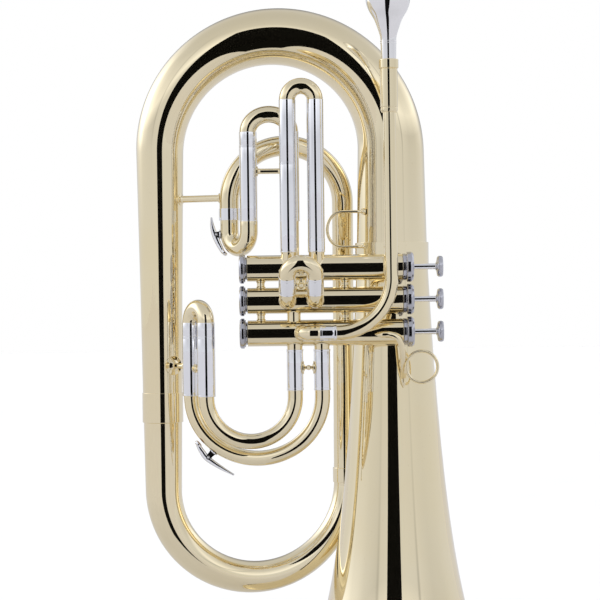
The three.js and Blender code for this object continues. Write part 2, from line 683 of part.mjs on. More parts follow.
makeBell();
makeTopBow();
makeBottomBow();
makeLoopPipe();
makeLoopFerrule();
makeDrainBend();
VALVE_Z.forEach((_, row) => makeValve(row));
makeCasingLinks(1, -30);
makeCasingLinks(2, -37);
makeMainSlide();
makeFirstSlide();
makeSecondSlide();
makeThirdSlide();
makeLeadpipe();
makeReceiver();
makeMouthpiece();
makeFingerRing();
makeThumbRing();
makeBrace(
  'upper_brace',
  vec(BOW_LEFT_X, 0, 508),
  vec(LOOP_END.x, LOOP_END.y, 508),
  21.4,
  9.2,
  [5.5, 4.2],
  1.8,
);
makeBrace(
  'lower_brace',
  vec(BOW_LEFT_X, 0, 352),
  vec(...THIRD.feet[1], 352),
  18.9,
  WIDE.sleeve,
  [9, 4.5],
  2,
);
makeWaterKey(
  'drain_key',
  vec(-108.4, LOOP_END.y, 474.1),
  vec(-104.9, LOOP_END.y, 474.1),
  vec(-101.6, -24.5, 457),
  vec(0.72, 0, 0.69),
  vec(-113, LOOP_END.y, 490),
);
makeWaterKey(
  'third_key',
  vec(-117.4, -40.5, 268),
  vec(-113, -40.5, 272.9),
  vec(-126.8, -39.5, 280),
  vec(0.75, 0, 0.66),
  vec(-94.1, -43, 251.5),
);

export default euphonium;
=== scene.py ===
# Euphonium in the upright marching wrap: the finished surfaces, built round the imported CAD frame.
# Lengths are in millimetres until a mesh is made, which turns them into metres.
import math

import bmesh
import bpy
import numpy as np
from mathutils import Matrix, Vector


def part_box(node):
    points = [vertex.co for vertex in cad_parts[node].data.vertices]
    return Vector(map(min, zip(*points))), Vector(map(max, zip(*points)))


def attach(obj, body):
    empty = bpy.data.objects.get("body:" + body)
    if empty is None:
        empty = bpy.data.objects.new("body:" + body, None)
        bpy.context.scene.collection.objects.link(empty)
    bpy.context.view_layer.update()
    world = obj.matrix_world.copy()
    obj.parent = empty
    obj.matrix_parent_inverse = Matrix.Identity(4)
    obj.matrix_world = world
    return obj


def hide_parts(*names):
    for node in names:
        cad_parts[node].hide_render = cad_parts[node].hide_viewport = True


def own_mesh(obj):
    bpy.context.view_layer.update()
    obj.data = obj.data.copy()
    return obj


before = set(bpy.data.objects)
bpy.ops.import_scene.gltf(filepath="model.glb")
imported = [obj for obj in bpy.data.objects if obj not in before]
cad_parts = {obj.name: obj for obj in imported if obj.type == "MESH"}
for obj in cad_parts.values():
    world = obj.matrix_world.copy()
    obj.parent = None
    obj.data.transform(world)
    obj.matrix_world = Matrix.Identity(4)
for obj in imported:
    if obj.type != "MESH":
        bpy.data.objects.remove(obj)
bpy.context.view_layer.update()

MM = 0.001
UP = np.array([0.0, 0.0, 1.0])
ALONG_X = np.array([1.0, 0.0, 0.0])
ALONG_Y = np.array([0.0, 1.0, 0.0])


def vec(x, y, z):
    return np.array([x, y, z], float)


def unit(v):
    return v / np.linalg.norm(v)


def corners(node):
    """A CAD node's lowest and highest corners in millimetres."""
    low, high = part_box(node)
    return np.array(low) / MM, np.array(high) / MM


def middle(node):
    low, high = corners(node)
    return (low + high) / 2


def half_size(node):
    low, high = corners(node)
    return (high - low) / 2


def ends_x(node):
    """A CAD node's lowest and highest X."""
    low, high = corners(node)
    return low[0], high[0]


def upright(node):
    """An upright round CAD node's axis, as X and Y, and its lowest and highest Z."""
    low, high = corners(node)
    return (low[0] + high[0]) / 2, (low[1] + high[1]) / 2, low[2], high[2]


# ---- driving dimensions ----
SHEET = 0.65  # wall of the bell and the bows
WALL = 0.8  # wall of the drawn tubes
SEAM = 0.3  # gap where two tubes meet
SIDES = 56  # round the tubes

BELL_X = middle("bell_flare")[0]
RIM_R = half_size("bell_flare")[0]
RIM_BEAD = 2.4
BELL_TOP = 452.5
BELL_SLEEVE_LOW = 440.0

BOW_LEFT_X = -162.0
BOW_TOP_Z = 552.0
BOW_JOINT_Z = corners("top_bow")[0][2] - SEAM
BOW_LOW_Z = 234.6
LOOP_X, LOOP_Y = 10.5, 41.0
LOOP_LOW_Z = corners("loop_pipe")[0][2]
LOOP_TOP_Z = 503.9
LOOP_END = middle("loop_ferrule")
LOOP_END_Z = 492.5
# radii of the bows: at the bell, where each bend begins, at its crown and where it ends, and at the joint
TOP_BOW_R = {"bell": 33.2, "start": 31.2, "crown": 26.5, "end": 22.1, "waist": 19.8, "joint": 18.4}
TOP_BOW_WAIST_Z = 421.0
LOW_BOW_R = {"joint": 18.3, "start": 17.1, "crown": 14.9, "end": 11.1, "loop": 11.0}
LOOP_R = {"low": 11.0, "high": 10.0, "crown": 9.5, "end": 9.1}
BOW_SLEEVE = {"low": 298.0, "high": 326.0, "r": 19.2}

VALVE_Y = middle("valve_1_casing")[1]
VALVE_Z = [middle(f"valve_{row}_casing")[2] for row in (1, 2, 3)]
CASING_R = half_size("valve_1_casing")[2]
CASING_LEFT, CASING_RIGHT = ends_x("valve_1_casing")

# radii of a slide's outer sleeve, its crook and the inner leg that slides, and the bore
WIDE = {"sleeve": 8.2, "crook": 7.7, "inner": 7.2, "bore": 6.6}
NARROW = {"sleeve": 7.8, "crook": 7.4, "inner": 6.8, "bore": 6.2}

MAIN_TOP = {"bow": 567.0, "rise": 16.5}
MAIN_LOW = 485.0
FIRST_TOP = 594.7
FIRST_LOW = 455.8
SECOND = {"out": -68.0, "bend": 12.0, "tilt": 27.0, "sleeve": 16.4}
THIRD_TOP = 392.0
THIRD_LOW = 325.0
THIRD_PORTS = [-36.5, -11.7]
THIRD_DROP = [40.4, 56.7]
THIRD_R = 7.0
PORT_SLEEVE = {"low": 329.3, "high": 366.8, "r": 7.5}
THIRD_BRACE_Z = 350.0
LEAD = {"top": 588.0, "bend": 49.0, "top_r": 5.7, "low_r": 6.6}


# ---- shapes ----

class Shape:
    """Points in millimetres, and faces that join rings of them."""

    def __init__(self):
        self.points = []
        self.faces = []
        self.paint = []

    def loft(self, rings, paint=0, closed=False):
        """Joins each ring of points to the next, and with closed the last one to the first."""
        first = len(self.points)
        count = len(rings[0])
        for ring in rings:
            self.points.extend(ring)
        pairs = [(i, i + 1) for i in range(len(rings) - 1)]
        if closed:
            pairs.append((len(rings) - 1, 0))
        for a, b in pairs:
            low, high = first + a * count, first + b * count
            for k in range(count):
                n = (k + 1) % count
                self.faces.append((low + k, low + n, high + n, high + k))
                self.paint.append(paint)

    def plate(self, ring, paint=0):
        """One flat face through a ring."""
        first = len(self.points)
        self.points.extend(ring)
        self.faces.append(tuple(range(first, first + len(ring))))
        self.paint.append(paint)


def make_piece(name, shape, materials, nodes=(), body="instrument", crease=40):
    """One smooth object from a shape. It rides on a body and stands for the CAD nodes given."""
    mesh = bpy.data.meshes.new(name)
    points = np.array(shape.points) * MM
    mesh.from_pydata(points.tolist(), [], shape.faces)
    for material in materials:
        mesh.materials.append(material)
    mesh.polygons.foreach_set("material_index", shape.paint)
    work = bmesh.new()
    work.from_mesh(mesh)
    bmesh.ops.remove_doubles(work, verts=work.verts, dist=1e-6)
    bmesh.ops.recalc_face_normals(work, faces=work.faces)
    for face in work.faces:
        face.smooth = True
    for edge in work.edges:
        if len(edge.link_faces) == 2 and edge.calc_face_angle(0) > math.radians(crease):
            edge.smooth = False
    work.to_mesh(mesh)
    work.free()
    piece = bpy.data.objects.new(name, mesh)
    bpy.context.scene.collection.objects.link(piece)
    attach(piece, body)
    if nodes:
        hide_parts(*nodes)
    return piece


def circle(centre, a, b, r, sides):
    """A ring of points round a centre, in the plane of a and b."""
    turn = np.linspace(0, 2 * np.pi, sides, endpoint=False)
    return centre + np.outer(r * np.cos(turn), a) + np.outer(r * np.sin(turn), b)


def side_axes(axis):
    """Two directions square to an axis."""
    axis = unit(axis)
    start = ALONG_Y if abs(axis @ ALONG_Y) < 0.9 else ALONG_X
    a = unit(start - axis * (start @ axis))
    return a, np.cross(axis, a)


def rounded(profile, corner, loop):
    """A profile whose corners are small arcs. A point may carry its own corner radius as a third value."""
    count = len(profile)
    smooth = []
    for i, point in enumerate(profile):
        here = np.array(point[:2], float)
        if not loop and i in (0, count - 1):
            smooth.append(here)
            continue
        before = np.array(profile[i - 1][:2], float) - here
        after = np.array(profile[(i + 1) % count][:2], float) - here
        room = 0.42 * min(np.linalg.norm(before), np.linalg.norm(after))
        before, after = unit(before), unit(after)
        inside = math.acos(np.clip(before @ after, -1, 1))
        size = point[2] if len(point) > 2 else corner
        if inside > math.radians(172) or size == 0:
            smooth.append(here)
            continue
        cut = min(size / math.tan(inside / 2), room)
        radius = cut * math.tan(inside / 2)
        centre = here + unit(before + after) * radius / math.sin(inside / 2)
        start, end = here + before * cut - centre, here + after * cut - centre
        smooth.append(here + before * cut * 1.15)
        sweep = math.pi - inside
        steps = max(2, math.ceil(sweep / math.radians(22)))
        for k in range(steps + 1):
            t = k / steps
            weight = math.sin((1 - t) * sweep) / math.sin(sweep), math.sin(t * sweep) / math.sin(sweep)
            smooth.append(centre + start * weight[0] + end * weight[1])
        smooth.append(here + after * cut * 1.15)
    return smooth


def turned(shape, profile, at, axis, sides=72, paint=0, closed=False, corner=None):
    """A turned surface from (radius, height) points, with rounded corners if their size is given."""
    a, b = side_axes(axis)
    axis = unit(np.array(axis, float))
    at = np.array(at, float)
    if corner:
        profile = rounded(profile, corner, closed)
    rings = [circle(at + axis * h, a, b, max(r, 1e-4), sides) for r, h in profile]
    shape.loft(rings, paint, closed)


def bead(centre_r, centre_h, r, from_degrees, to_degrees, steps):
    """Points round part of a circle in a turned profile."""
    turns = np.radians(np.linspace(from_degrees, to_degrees, steps))
    return [(centre_r + r * math.cos(t), centre_h + r * math.sin(t)) for t in turns]


# ---- stations of a tube: (point, outer radius) ----

def line(start, end, from_r, to_r=None, steps=2):
    to_r = from_r if to_r is None else to_r
    shares = np.linspace(0, 1, steps + 1)
    return [(start + (end - start) * t, from_r + (to_r - from_r) * t) for t in shares]


def column(x, y, low, high, from_r, to_r=None, steps=2):
    """A line of stations straight up, or down if high is the lower."""
    return line(vec(x, y, low), vec(x, y, high), from_r, to_r, steps)


def bend(centre, out, ahead, degrees, steps, from_r, to_r=None):
    """Round a bend from centre + out, setting off along ahead."""
    to_r = from_r if to_r is None else to_r
    stations = []
    for i in range(steps + 1):
        t = i / steps
        turn = math.radians(degrees) * t
        at = centre + out * math.cos(turn) + ahead * math.sin(turn)
        stations.append((at, from_r + (to_r - from_r) * t))
    return stations


def half_turn(centre, side, crown, radii, steps):
    """A half turn in a plane of constant Y, its radius a smooth curve through its start, crown and end."""
    stations = []
    start, top, end = radii
    for i in range(2 * steps + 1):
        t = i / (2 * steps)
        turn = math.pi * t
        at = centre + ALONG_X * side * math.cos(turn) + UP * crown * math.sin(turn)
        r = start * (1 - t) * (1 - 2 * t) + 4 * top * t * (1 - t) + end * t * (2 * t - 1)
        stations.append((at, r))
    return stations


def drift(stations, from_y, to_y):
    """Eases the Y of a run of stations, by distance along them in X and Z."""
    places = np.array([at for at, r in stations])
    steps = np.hypot(np.diff(places[:, 0]), np.diff(places[:, 2]))
    share = np.concatenate([[0], np.cumsum(steps)]) / steps.sum()
    eased = from_y + (to_y - from_y) * share * share * (3 - 2 * share)
    return [(vec(at[0], y, at[2]), r) for (at, r), y in zip(stations, eased)]


def chain(*runs):
    """Joins runs of stations, leaving out a repeated point where they meet."""
    stations = list(runs[0])
    for run in runs[1:]:
        same = np.linalg.norm(run[0][0] - stations[-1][0]) < 1e-6 and abs(run[0][1] - stations[-1][1]) < 1e-6
        stations += run[1:] if same else run
    return stations


def tube_frames(stations, across):
    places = [at for at, r in stations]
    runs = [unit(b - a) for a, b in zip(places, places[1:])]
    normal = np.array(across, float)
    frames = []
    for i in range(len(places)):
        tangent = unit(runs[max(i - 1, 0)] + runs[min(i, len(runs) - 1)])
        normal = unit(normal - tangent * (normal @ tangent))
        frames.append((tangent, normal, np.cross(tangent, normal)))
    return frames


def on_casing(ring, row, way, depth):
    """Moves a ring's points along a direction, out of a casing's axis, to just under its surface."""
    reach = CASING_R - depth
    moved = ring.copy()
    along = 2 if abs(way[2]) > 0.5 else 1
    other = 3 - along
    origin = (None, VALVE_Y, VALVE_Z[row])
    across = ring[:, other] - origin[other]
    height = np.sqrt(np.maximum(reach ** 2 - across ** 2, 0.5))
    moved[:, along] = origin[along] + way[along] * height
    return moved


def landing(first, frame_here, row, way, r, spread):
    """Rings that carry a tube down onto a casing, with a small fillet of solder round its foot."""
    tangent, a, b = frame_here
    steps = [(-0.4, 0.62), (0.0, 0.55), (0.15, 0.3), (0.4, 0.12), (0.8, 0.03), (1.3, 0.0)]
    return [
        on_casing(circle(first, a, b, r + more * spread, SIDES), row, way, 0) + way * height
        for height, more in steps
    ]


def tube(shape, stations, wall=WALL, across=ALONG_Y, paint=0, start_on=None, end_on=None, sides=SIDES):
    """A hollow tube with rounded ends. start_on and end_on are a casing's row and the way out of it."""
    frames = tube_frames(stations, across)

    def ring(i, less=0.0, shift=0.0):
        (at, r), (tangent, a, b) = stations[i], frames[i]
        return circle(at + tangent * shift, a, b, r - less, sides)

    count = len(stations)
    outer = [ring(i) for i in range(count)]
    inner = [ring(i, wall) for i in range(count)]

    def lip(i, way):
        turns = np.radians([30, 60, 90, 120, 150])
        return [ring(i, wall / 2 * (1 - math.cos(t)), way * wall / 2 * math.sin(t)) for t in turns]

    start, end = list(reversed(lip(0, -1))), lip(count - 1, 1)
    if start_on:
        at, r = stations[0]
        outer = landing(at, frames[0], *start_on, r, 1) + outer[1:]
        inner = [on_casing(inner[0], *start_on, 0.4)] + inner[1:]
        start = []
    if end_on:
        at, r = stations[-1]
        outer = outer[:-1] + list(reversed(landing(at, frames[-1], *end_on, r, 1)))
        inner = inner[:-1] + [on_casing(inner[-1], *end_on, 0.4)]
        end = []
    shape.loft(outer + end + inner[::-1] + start, paint, closed=True)


def wire(shape, stations, across, sides):
    """A solid rod with rounded ends through stations."""
    frames = tube_frames(stations, across)
    rings = []
    (at, r), (tangent, a, b) = stations[0], frames[0]
    for t in np.radians([88, 60, 35, 15]):
        rings.append(circle(at - tangent * r * 0.6 * math.sin(t), a, b, r * math.cos(t), sides))
    for (at, r), (tangent, a, b) in zip(stations, frames):
        rings.append(circle(at, a, b, r, sides))
    for t in np.radians([15, 35, 60, 88]):
        rings.append(circle(at + tangent * r * 0.6 * math.sin(t), a, b, r * math.cos(t), sides))
    shape.plate(rings[0][::-1])
    shape.loft(rings)
    shape.plate(rings[-1])


def band(shape, at, low, high, inner, outer, axis=UP, paint=0, corner=0.35, sides=72):
    """A ring of metal with rounded edges round a tube."""
    profile = [(inner, low), (outer, low), (outer, high), (inner, high)]
    turned(shape, profile, at, axis, sides, paint, closed=True, corner=corner)


def spline(points, steps):
    """A smooth run of stations through a few (point, radius) stations."""
    places = [np.append(at, r) for at, r in points]
    places = [2 * places[0] - places[1], *places, 2 * places[-1] - places[-2]]
    smooth = []
    for p, q, r, s in zip(places, places[1:], places[2:], places[3:]):
        for k in range(steps):
            t = k / steps
            smooth.append(0.5 * (2 * q + (r - p) * t + (2 * p - 5 * q + 4 * r - s) * t ** 2
                                 + (3 * q - p - 3 * r + s) * t ** 3))
    smooth.append(places[-2])
    return [(value[:3], value[3]) for value in smooth]


def smooth_profile(points):
    """A turned profile's curve through a few (radius, height) points."""
    return [(at[0], at[2]) for at, r in spline([(vec(r, 0, h), 0) for r, h in points], 8)]


# ---- materials ----

class Nodes:
    """Short calls for building a node tree."""

    def __init__(self, tree):
        self.tree = tree

    def put(self, value, socket):
        if isinstance(value, bpy.types.NodeSocket):
            self.tree.links.new(value, socket)
        else:
            socket.default_value = value

    def add(self, kind, **values):
        node = self.tree.nodes.new(kind)
        for key, value in values.items():
            if key in node.inputs:
                self.put(value, node.inputs[key])
            else:
                setattr(node, key, value)
        return node

    def span(self, value, low, high, to_low=0, to_high=1, kind="LINEAR"):
        limits = {"From Min": low, "From Max": high, "To Min": to_low, "To Max": to_high}
        node = self.add("ShaderNodeMapRange", Value=value, interpolation_type=kind, **limits)
        return node.outputs["Result"]

    def maths(self, operation, a, b):
        node = self.add("ShaderNodeMath", operation=operation)
        self.put(a, node.inputs[0])
        self.put(b, node.inputs[1])
        return node.outputs[0]

    def mix(self, share, a, b, kind="RGBA"):
        node = self.add("ShaderNodeMix", data_type=kind)
        self.put(share, node.inputs["Factor"])
        self.put(a, node.inputs["A"])
        self.put(b, node.inputs["B"])
        return node.outputs["Result"]

    def colour(self, red, green, blue):
        return self.add("ShaderNodeCombineColor", Red=red, Green=green, Blue=blue).outputs["Color"]


class Paint(Nodes):
    """A material and its node tree."""

    def __init__(self, name):
        self.material = bpy.data.materials.new(name)
        self.material.use_nodes = True
        super().__init__(self.material.node_tree)
        self.shader = next(n for n in self.tree.nodes if n.type == "BSDF_PRINCIPLED")

    def place(self, stretch=(1, 1, 1)):
        """A point in the object's own space, in metres."""
        here = self.add("ShaderNodeTexCoord").outputs["Object"]
        return self.add("ShaderNodeMapping", Vector=here, Scale=stretch).outputs["Vector"]

    def noise(self, scale, detail, rough=0.55, stretch=(1, 1, 1)):
        return self.add(
            "ShaderNodeTexNoise", Vector=self.place(stretch), Scale=scale, Detail=detail, Roughness=rough
        ).outputs["Fac"]

    def bump(self, height, distance, under=None):
        node = self.add("ShaderNodeBump", Height=height, Distance=distance)
        if under is not None:
            self.put(under, node.inputs["Normal"])
        return node.outputs["Normal"]

    def set(self, **sockets):
        for key, value in sockets.items():
            self.put(value, self.shader.inputs[key.replace("_", " ")])


def polished(name, bright, deep, wear_and_shade, shine, smear, ripple, coat=0.0):
    """Polished metal: a drifting tint, creases and joints darkened with painted shade and a little tarnish,
    wipe marks, faint hairlines and a hand-worked surface.
    shine and smear are its lowest roughness and how much the marks add, ripple its waviness in metres."""
    n = Paint(name)
    # the third colour serves both the worn specks and the painted shade in creases and joints
    bright, deep, wear_and_shade = [(*tint, 1) for tint in (bright, deep, wear_and_shade)]
    cloud = n.span(n.noise(9, 4), 0.35, 0.68)
    crease = n.span(n.add("ShaderNodeNewGeometry").outputs["Pointiness"], 0.44, 0.5, 1, 0)
    speck = n.span(n.noise(420, 2), 0.7, 0.82, 0, 0.2)
    tint = n.mix(cloud, bright, deep)
    # creases and joints darken towards the third colour: painted shade, with a little tarnish
    tint = n.mix(n.maths("MULTIPLY", crease, 0.7), tint, wear_and_shade)
    tint = n.mix(speck, tint, wear_and_shade)
    wipe = n.span(n.noise(24, 6, 0.62, (1, 1, 0.35)), 0.42, 0.75)
    hair = n.span(n.noise(260, 3, 0.6, (1, 1, 0.04)), 0.5, 0.72)
    marks = n.maths("ADD", n.maths("MULTIPLY", wipe, 0.7), n.maths("MULTIPLY", hair, 0.3))
    rough = n.maths("ADD", n.maths("MULTIPLY", marks, smear), shine)
    rough = n.maths("ADD", rough, n.maths("MULTIPLY", crease, 0.12))
    waves = n.bump(n.noise(14, 2, 0.4), ripple)
    lines = n.bump(n.noise(900, 2, 0.6, (1, 1, 0.05)), 0.0000003, waves)
    n.set(Base_Color=tint, Metallic=1.0, Roughness=rough, Normal=lines)
    n.set(Coat_Weight=coat, Coat_Roughness=0.02, Coat_IOR=1.45)
    return n.material


def make_cork():
    n = Paint("cork")
    grain = n.add("ShaderNodeTexVoronoi", Vector=n.place(), Scale=900.0).outputs["Distance"]
    tint = n.mix(n.span(grain, 0.1, 0.7), (0.23, 0.12, 0.055, 1), (0.52, 0.33, 0.17, 1))
    n.set(Base_Color=tint, Roughness=0.85, Normal=n.bump(grain, 0.0003))
    return n.material


brass = polished(
    "lacquered_brass", (0.93, 0.82, 0.57), (0.92, 0.795, 0.52), (0.50, 0.33, 0.13), 0.018, 0.03, 0.00009, 0.3)
nickel = polished(
    "nickel_silver", (0.95, 0.95, 0.955), (0.91, 0.91, 0.92), (0.40, 0.39, 0.38), 0.03, 0.05, 0.00004)
cap_nickel = polished(
    "nickel_plate", (0.60, 0.60, 0.64), (0.50, 0.50, 0.53), (0.20, 0.20, 0.21), 0.07, 0.12, 0.00004)
silver = polished(
    "silver_plate", (0.95, 0.94, 0.93), (0.91, 0.90, 0.885), (0.42, 0.38, 0.33), 0.025, 0.05, 0.00003)
monel = polished(
    "piston_metal", (0.66, 0.64, 0.60), (0.58, 0.56, 0.52), (0.28, 0.26, 0.23), 0.16, 0.16, 0.00002)
steel = polished(
    "spring_steel", (0.56, 0.57, 0.58), (0.46, 0.47, 0.48), (0.20, 0.18, 0.16), 0.22, 0.16, 0.00002)
cork = make_cork()


# ---- bell, bows and loop ----

def bell_radius(z):
    return 64.5 * (205 / (z + 76.5)) ** 0.7


def make_bell():
    shape = Shape()
    low, foot = 5.4, 3.6
    share = np.linspace(0, 1, 110) ** 1.7
    heights = low + (BELL_TOP - low) * share
    outside = [(bell_radius(z), z) for z in heights]
    inside = [(bell_radius(z) - SHEET, z) for z in [*heights[::-1], foot]]
    rim = bead(RIM_R - RIM_BEAD, RIM_BEAD, RIM_BEAD, 165, 455, 26)
    turned(shape, inside + rim + outside, (BELL_X, 0, 0), UP, 160, closed=True)
    make_piece("bell_shell", shape, [brass], ["bell_flare", "bell_throat", "bell_tail"])

    low, high = BELL_SLEEVE_LOW, corners("bell_tail")[1][2]
    joint_sleeve("bell_sleeve", BELL_X, low, high, bell_radius(low), 34.6, 32.8)


def joint_sleeve(name, x, low, high, tube_r, r, bore):
    """A plain sleeve round a joint of the bell or the bows, with one fine edge at each end."""
    profile = [
        (tube_r - 0.1, low - 0.1), (tube_r + 0.2, low), (r, low + 0.5, 0.3), (r, high, 0.25),
        (bore + 0.3, high + 0.05), (bore, high - 2), (bore, low + 3),
    ]
    shape = Shape()
    turned(shape, profile, (x, 0, 0), UP, 128, closed=True, corner=0.15)
    make_piece(name, shape, [brass])


def make_bows():
    size = (BELL_X - BOW_LEFT_X) / 2
    centre = vec(BELL_X - size, 0, BOW_TOP_Z)
    r = TOP_BOW_R
    stations = chain(
        column(BELL_X, 0, BELL_TOP + SEAM, BOW_TOP_Z, r["bell"], r["start"], 14),
        half_turn(centre, size, size, (r["start"], r["crown"], r["end"]), 44),
        column(BOW_LEFT_X, 0, BOW_TOP_Z, TOP_BOW_WAIST_Z, r["end"], r["waist"], 14),
        column(BOW_LEFT_X, 0, TOP_BOW_WAIST_Z, BOW_JOINT_Z + SEAM, r["waist"], r["joint"], 10),
    )
    shape = Shape()
    tube(shape, stations, SHEET, sides=96)
    make_piece("top_bow_tube", shape, [brass], ["top_bow"])

    size = (LOOP_X - BOW_LEFT_X) / 2
    centre = vec(LOOP_X - size, 0, BOW_LOW_Z)
    r = LOW_BOW_R
    turn = half_turn(centre, -size, -size, (r["start"], r["crown"], r["end"]), 40)
    stations = chain(
        column(BOW_LEFT_X, 0, BOW_JOINT_Z, BOW_LOW_Z, r["joint"], r["start"], 8),
        drift(turn, 0, LOOP_Y),
        column(LOOP_X, LOOP_Y, BOW_LOW_Z, BOW_LOW_Z + 8, r["end"], r["loop"], 2),
    )
    shape = Shape()
    tube(shape, stations, SHEET, sides=80)
    make_piece("bottom_bow_tube", shape, [brass], ["bottom_bow"])

    sleeve = BOW_SLEEVE
    joint_sleeve("bow_sleeve", BOW_LEFT_X, sleeve["low"], sleeve["high"], 18.2, sleeve["r"], 18.0)


def make_loop():
    size = (LOOP_X - LOOP_END[0]) / 2
    centre = vec(LOOP_X - size, 0, LOOP_TOP_Z)
    leg_low = LOOP_TOP_Z - 105
    r = LOOP_R
    leg = column(LOOP_X, 0, leg_low, LOOP_TOP_Z, r["high"], steps=16)
    over = half_turn(centre, size, size, (r["high"], r["crown"], r["end"]), 30)
    stations = chain(
        column(LOOP_X, LOOP_Y, LOOP_LOW_Z, leg_low, r["low"], r["high"], 10),
        drift(chain(leg, over), LOOP_Y, LOOP_END[1]),
        column(*LOOP_END[:2], LOOP_TOP_Z, LOOP_END_Z + SEAM, r["end"], steps=3),
    )
    shape = Shape()
    tube(shape, stations)
    band(shape, (LOOP_X, LOOP_Y, 0), LOOP_LOW_Z - 7, LOOP_LOW_Z + 7, r["low"] - 0.2, r["low"] + 0.9)
    make_piece("loop_tube", shape, [brass], ["loop_pipe"])

    shape = Shape()
    x, y, low, high = upright("loop_ferrule")
    band(shape, (x, y, 0), low, high, r["end"] - 0.5, r["end"] + 0.6, corner=0.2)
    make_piece("loop_sleeve", shape, [nickel], ["loop_ferrule"])


def make_drain_bend():
    left = middle("main_slide_sleeve_left")
    straight_end = 476
    start = vec(*LOOP_END[:2], straight_end)
    finish = vec(*left[:2], straight_end)
    centre = (start + finish) / 2
    down = -UP * np.linalg.norm(start - centre)
    narrow, wide = 8.6, WIDE["sleeve"]
    stations = chain(
        column(*LOOP_END[:2], LOOP_END_Z, straight_end, narrow, steps=3),
        bend(centre, start - centre, down, 180, 30, narrow, wide),
        column(*left[:2], straight_end, MAIN_LOW - SEAM, wide, steps=2),
    )
    shape = Shape()
    tube(shape, stations)
    make_piece("drain_bend_tube", shape, [brass], ["drain_bend"])


# ---- valves ----

def make_casing(row):
    shape = Shape()
    at = (0, VALVE_Y, VALVE_Z[row])
    band(shape, at, CASING_LEFT, CASING_RIGHT, CASING_R - 1, CASING_R, ALONG_X, corner=0.15, sides=96)
    label = f"valve_{row + 1}"
    make_piece(f"{label}_barrel", shape, [brass], [f"{label}_casing"])


def make_caps(row):
    label = f"valve_{row + 1}"
    at = (0, VALVE_Y, VALVE_Z[row])
    low, high = ends_x(f"{label}_top_cap")
    profile = [
        (10.1, low), (12.4, low), (12.4, low + 2.6), (12.0, low + 2.8, 0.1), (12.0, low + 3.4, 0.1),
        (13.9, low + 3.7, 0.8), (14.0, high - 2.6, 2.0), (12.2, high - 0.7, 1.4),
        (9.4, high - 0.35), (8.8, high - 0.8), (5.4, high - 0.9), (4.9, high), (3.1, high, 0.25),
        (3.1, low + 8), (10.1, low + 8),
    ]
    shape = Shape()
    turned(shape, profile, at, ALONG_X, 96, closed=True, corner=0.3)
    make_piece(f"{label}_cap", shape, [cap_nickel], [f"{label}_top_cap"])

    low, high = ends_x(f"{label}_bottom_cap")
    profile = [
        (0, high), (10.3, high), (10.3, high - 1.4), (12.5, high - 1.5), (12.5, high - 2.5, 0.1),
        (13.8, high - 2.8, 0.5), (13.8, low + 1.4, 1.6), (12.3, low + 0.2, 1.0),
        (9.8, low + 0.3), (9.2, low + 0.9), (3.2, low + 0.9), (3.0, low + 0.1),
        (1.5, low, 0.2), (1.3, low + 1.8), (0, low + 2.0),
    ]
    shape = Shape()
    turned(shape, profile, at, ALONG_X, 96, corner=0.3)
    make_piece(f"{label}_foot", shape, [cap_nickel], [f"{label}_bottom_cap"])


def make_piston(row):
    label = f"valve_{row + 1}"
    left, end = ends_x(f"{label}_piston")
    at = (0, VALVE_Y, VALVE_Z[row])
    r, right, stem_r = 10.6, 40.0, 2.7
    profile = [
        (0, end), (stem_r, end, 0), (stem_r, right + 3), (4.2, right + 2.4, 0.5), (4.2, right),
        (r, right), (r, 30), (r - 0.25, 29.7), (r - 0.25, 29), (r, 28.7), (r, left),
        (r - WALL, left), (r - WALL, right - 2), (0, right - 2),
    ]
    shape = Shape()
    turned(shape, profile, at, ALONG_X, 96, corner=0.3)
    piece = make_piece(f"{label}_plunger", shape, [monel, nickel], [f"{label}_piston"], label)
    for x in (-36, -13):
        bore_passage(piece, vec(x, VALVE_Y, VALVE_Z[row]), r)
    for face in piece.data.polygons:
        if face.center.x > (right + 2) * MM:
            face.material_index = 1


def bore_passage(piece, at, r):
    """Gives a piston one open passage with its own wall."""
    for radius, operation in ((NARROW["bore"] + WALL, "UNION"), (NARROW["bore"], "DIFFERENCE")):
        shape = Shape()
        reach = r - 0.6 if operation == "UNION" else r + 2
        rings = [circle(at + UP * h, ALONG_X, ALONG_Y, radius, 40) for h in (-reach, reach)]
        if operation == "UNION":
            height = np.sqrt(r ** 2 - (rings[0][:, 1] - at[1]) ** 2) - 0.15
            for ring, way in zip(rings, (-1, 1)):
                ring[:, 2] = at[2] + way * height
        shape.loft(rings)
        shape.plate(rings[0][::-1])
        shape.plate(rings[1])
        mesh = bpy.data.meshes.new("cutter")
        mesh.from_pydata((np.array(shape.points) * MM).tolist(), [], shape.faces)
        cutter = bpy.data.objects.new("cutter", mesh)
        bpy.context.scene.collection.objects.link(cutter)
        change = piece.modifiers.new("passage", "BOOLEAN")
        change.object = cutter
        change.operation = operation
        change.solver = "EXACT"
        bpy.context.view_layer.update()
        done = bpy.data.meshes.new_from_object(piece.evaluated_get(bpy.context.evaluated_depsgraph_get()))
        piece.modifiers.clear()
        piece.data = done
        bpy.data.objects.remove(cutter)


def make_button(row):
    label = f"valve_{row + 1}"
    low, high = ends_x(f"{label}_button")
    profile = [
        (0, low), (3.4, low, 0.3), (3.6, low + 0.6), (8.6, low + 1.5, 1.0), (9.6, low + 3.0, 1.2),
        (9.55, high - 1.4, 1.0), (8.7, high, 0.6), (8.0, high - 0.2, 0.3), (7.2, high - 0.75, 0.6),
        (4, high - 1.05), (0, high - 1.15),
    ]
    shape = Shape()
    turned(shape, profile, (0, VALVE_Y, VALVE_Z[row]), ALONG_X, 80, corner=0.3)
    make_piece(f"{label}_finger_button", shape, [cap_nickel], [f"{label}_button"], label)


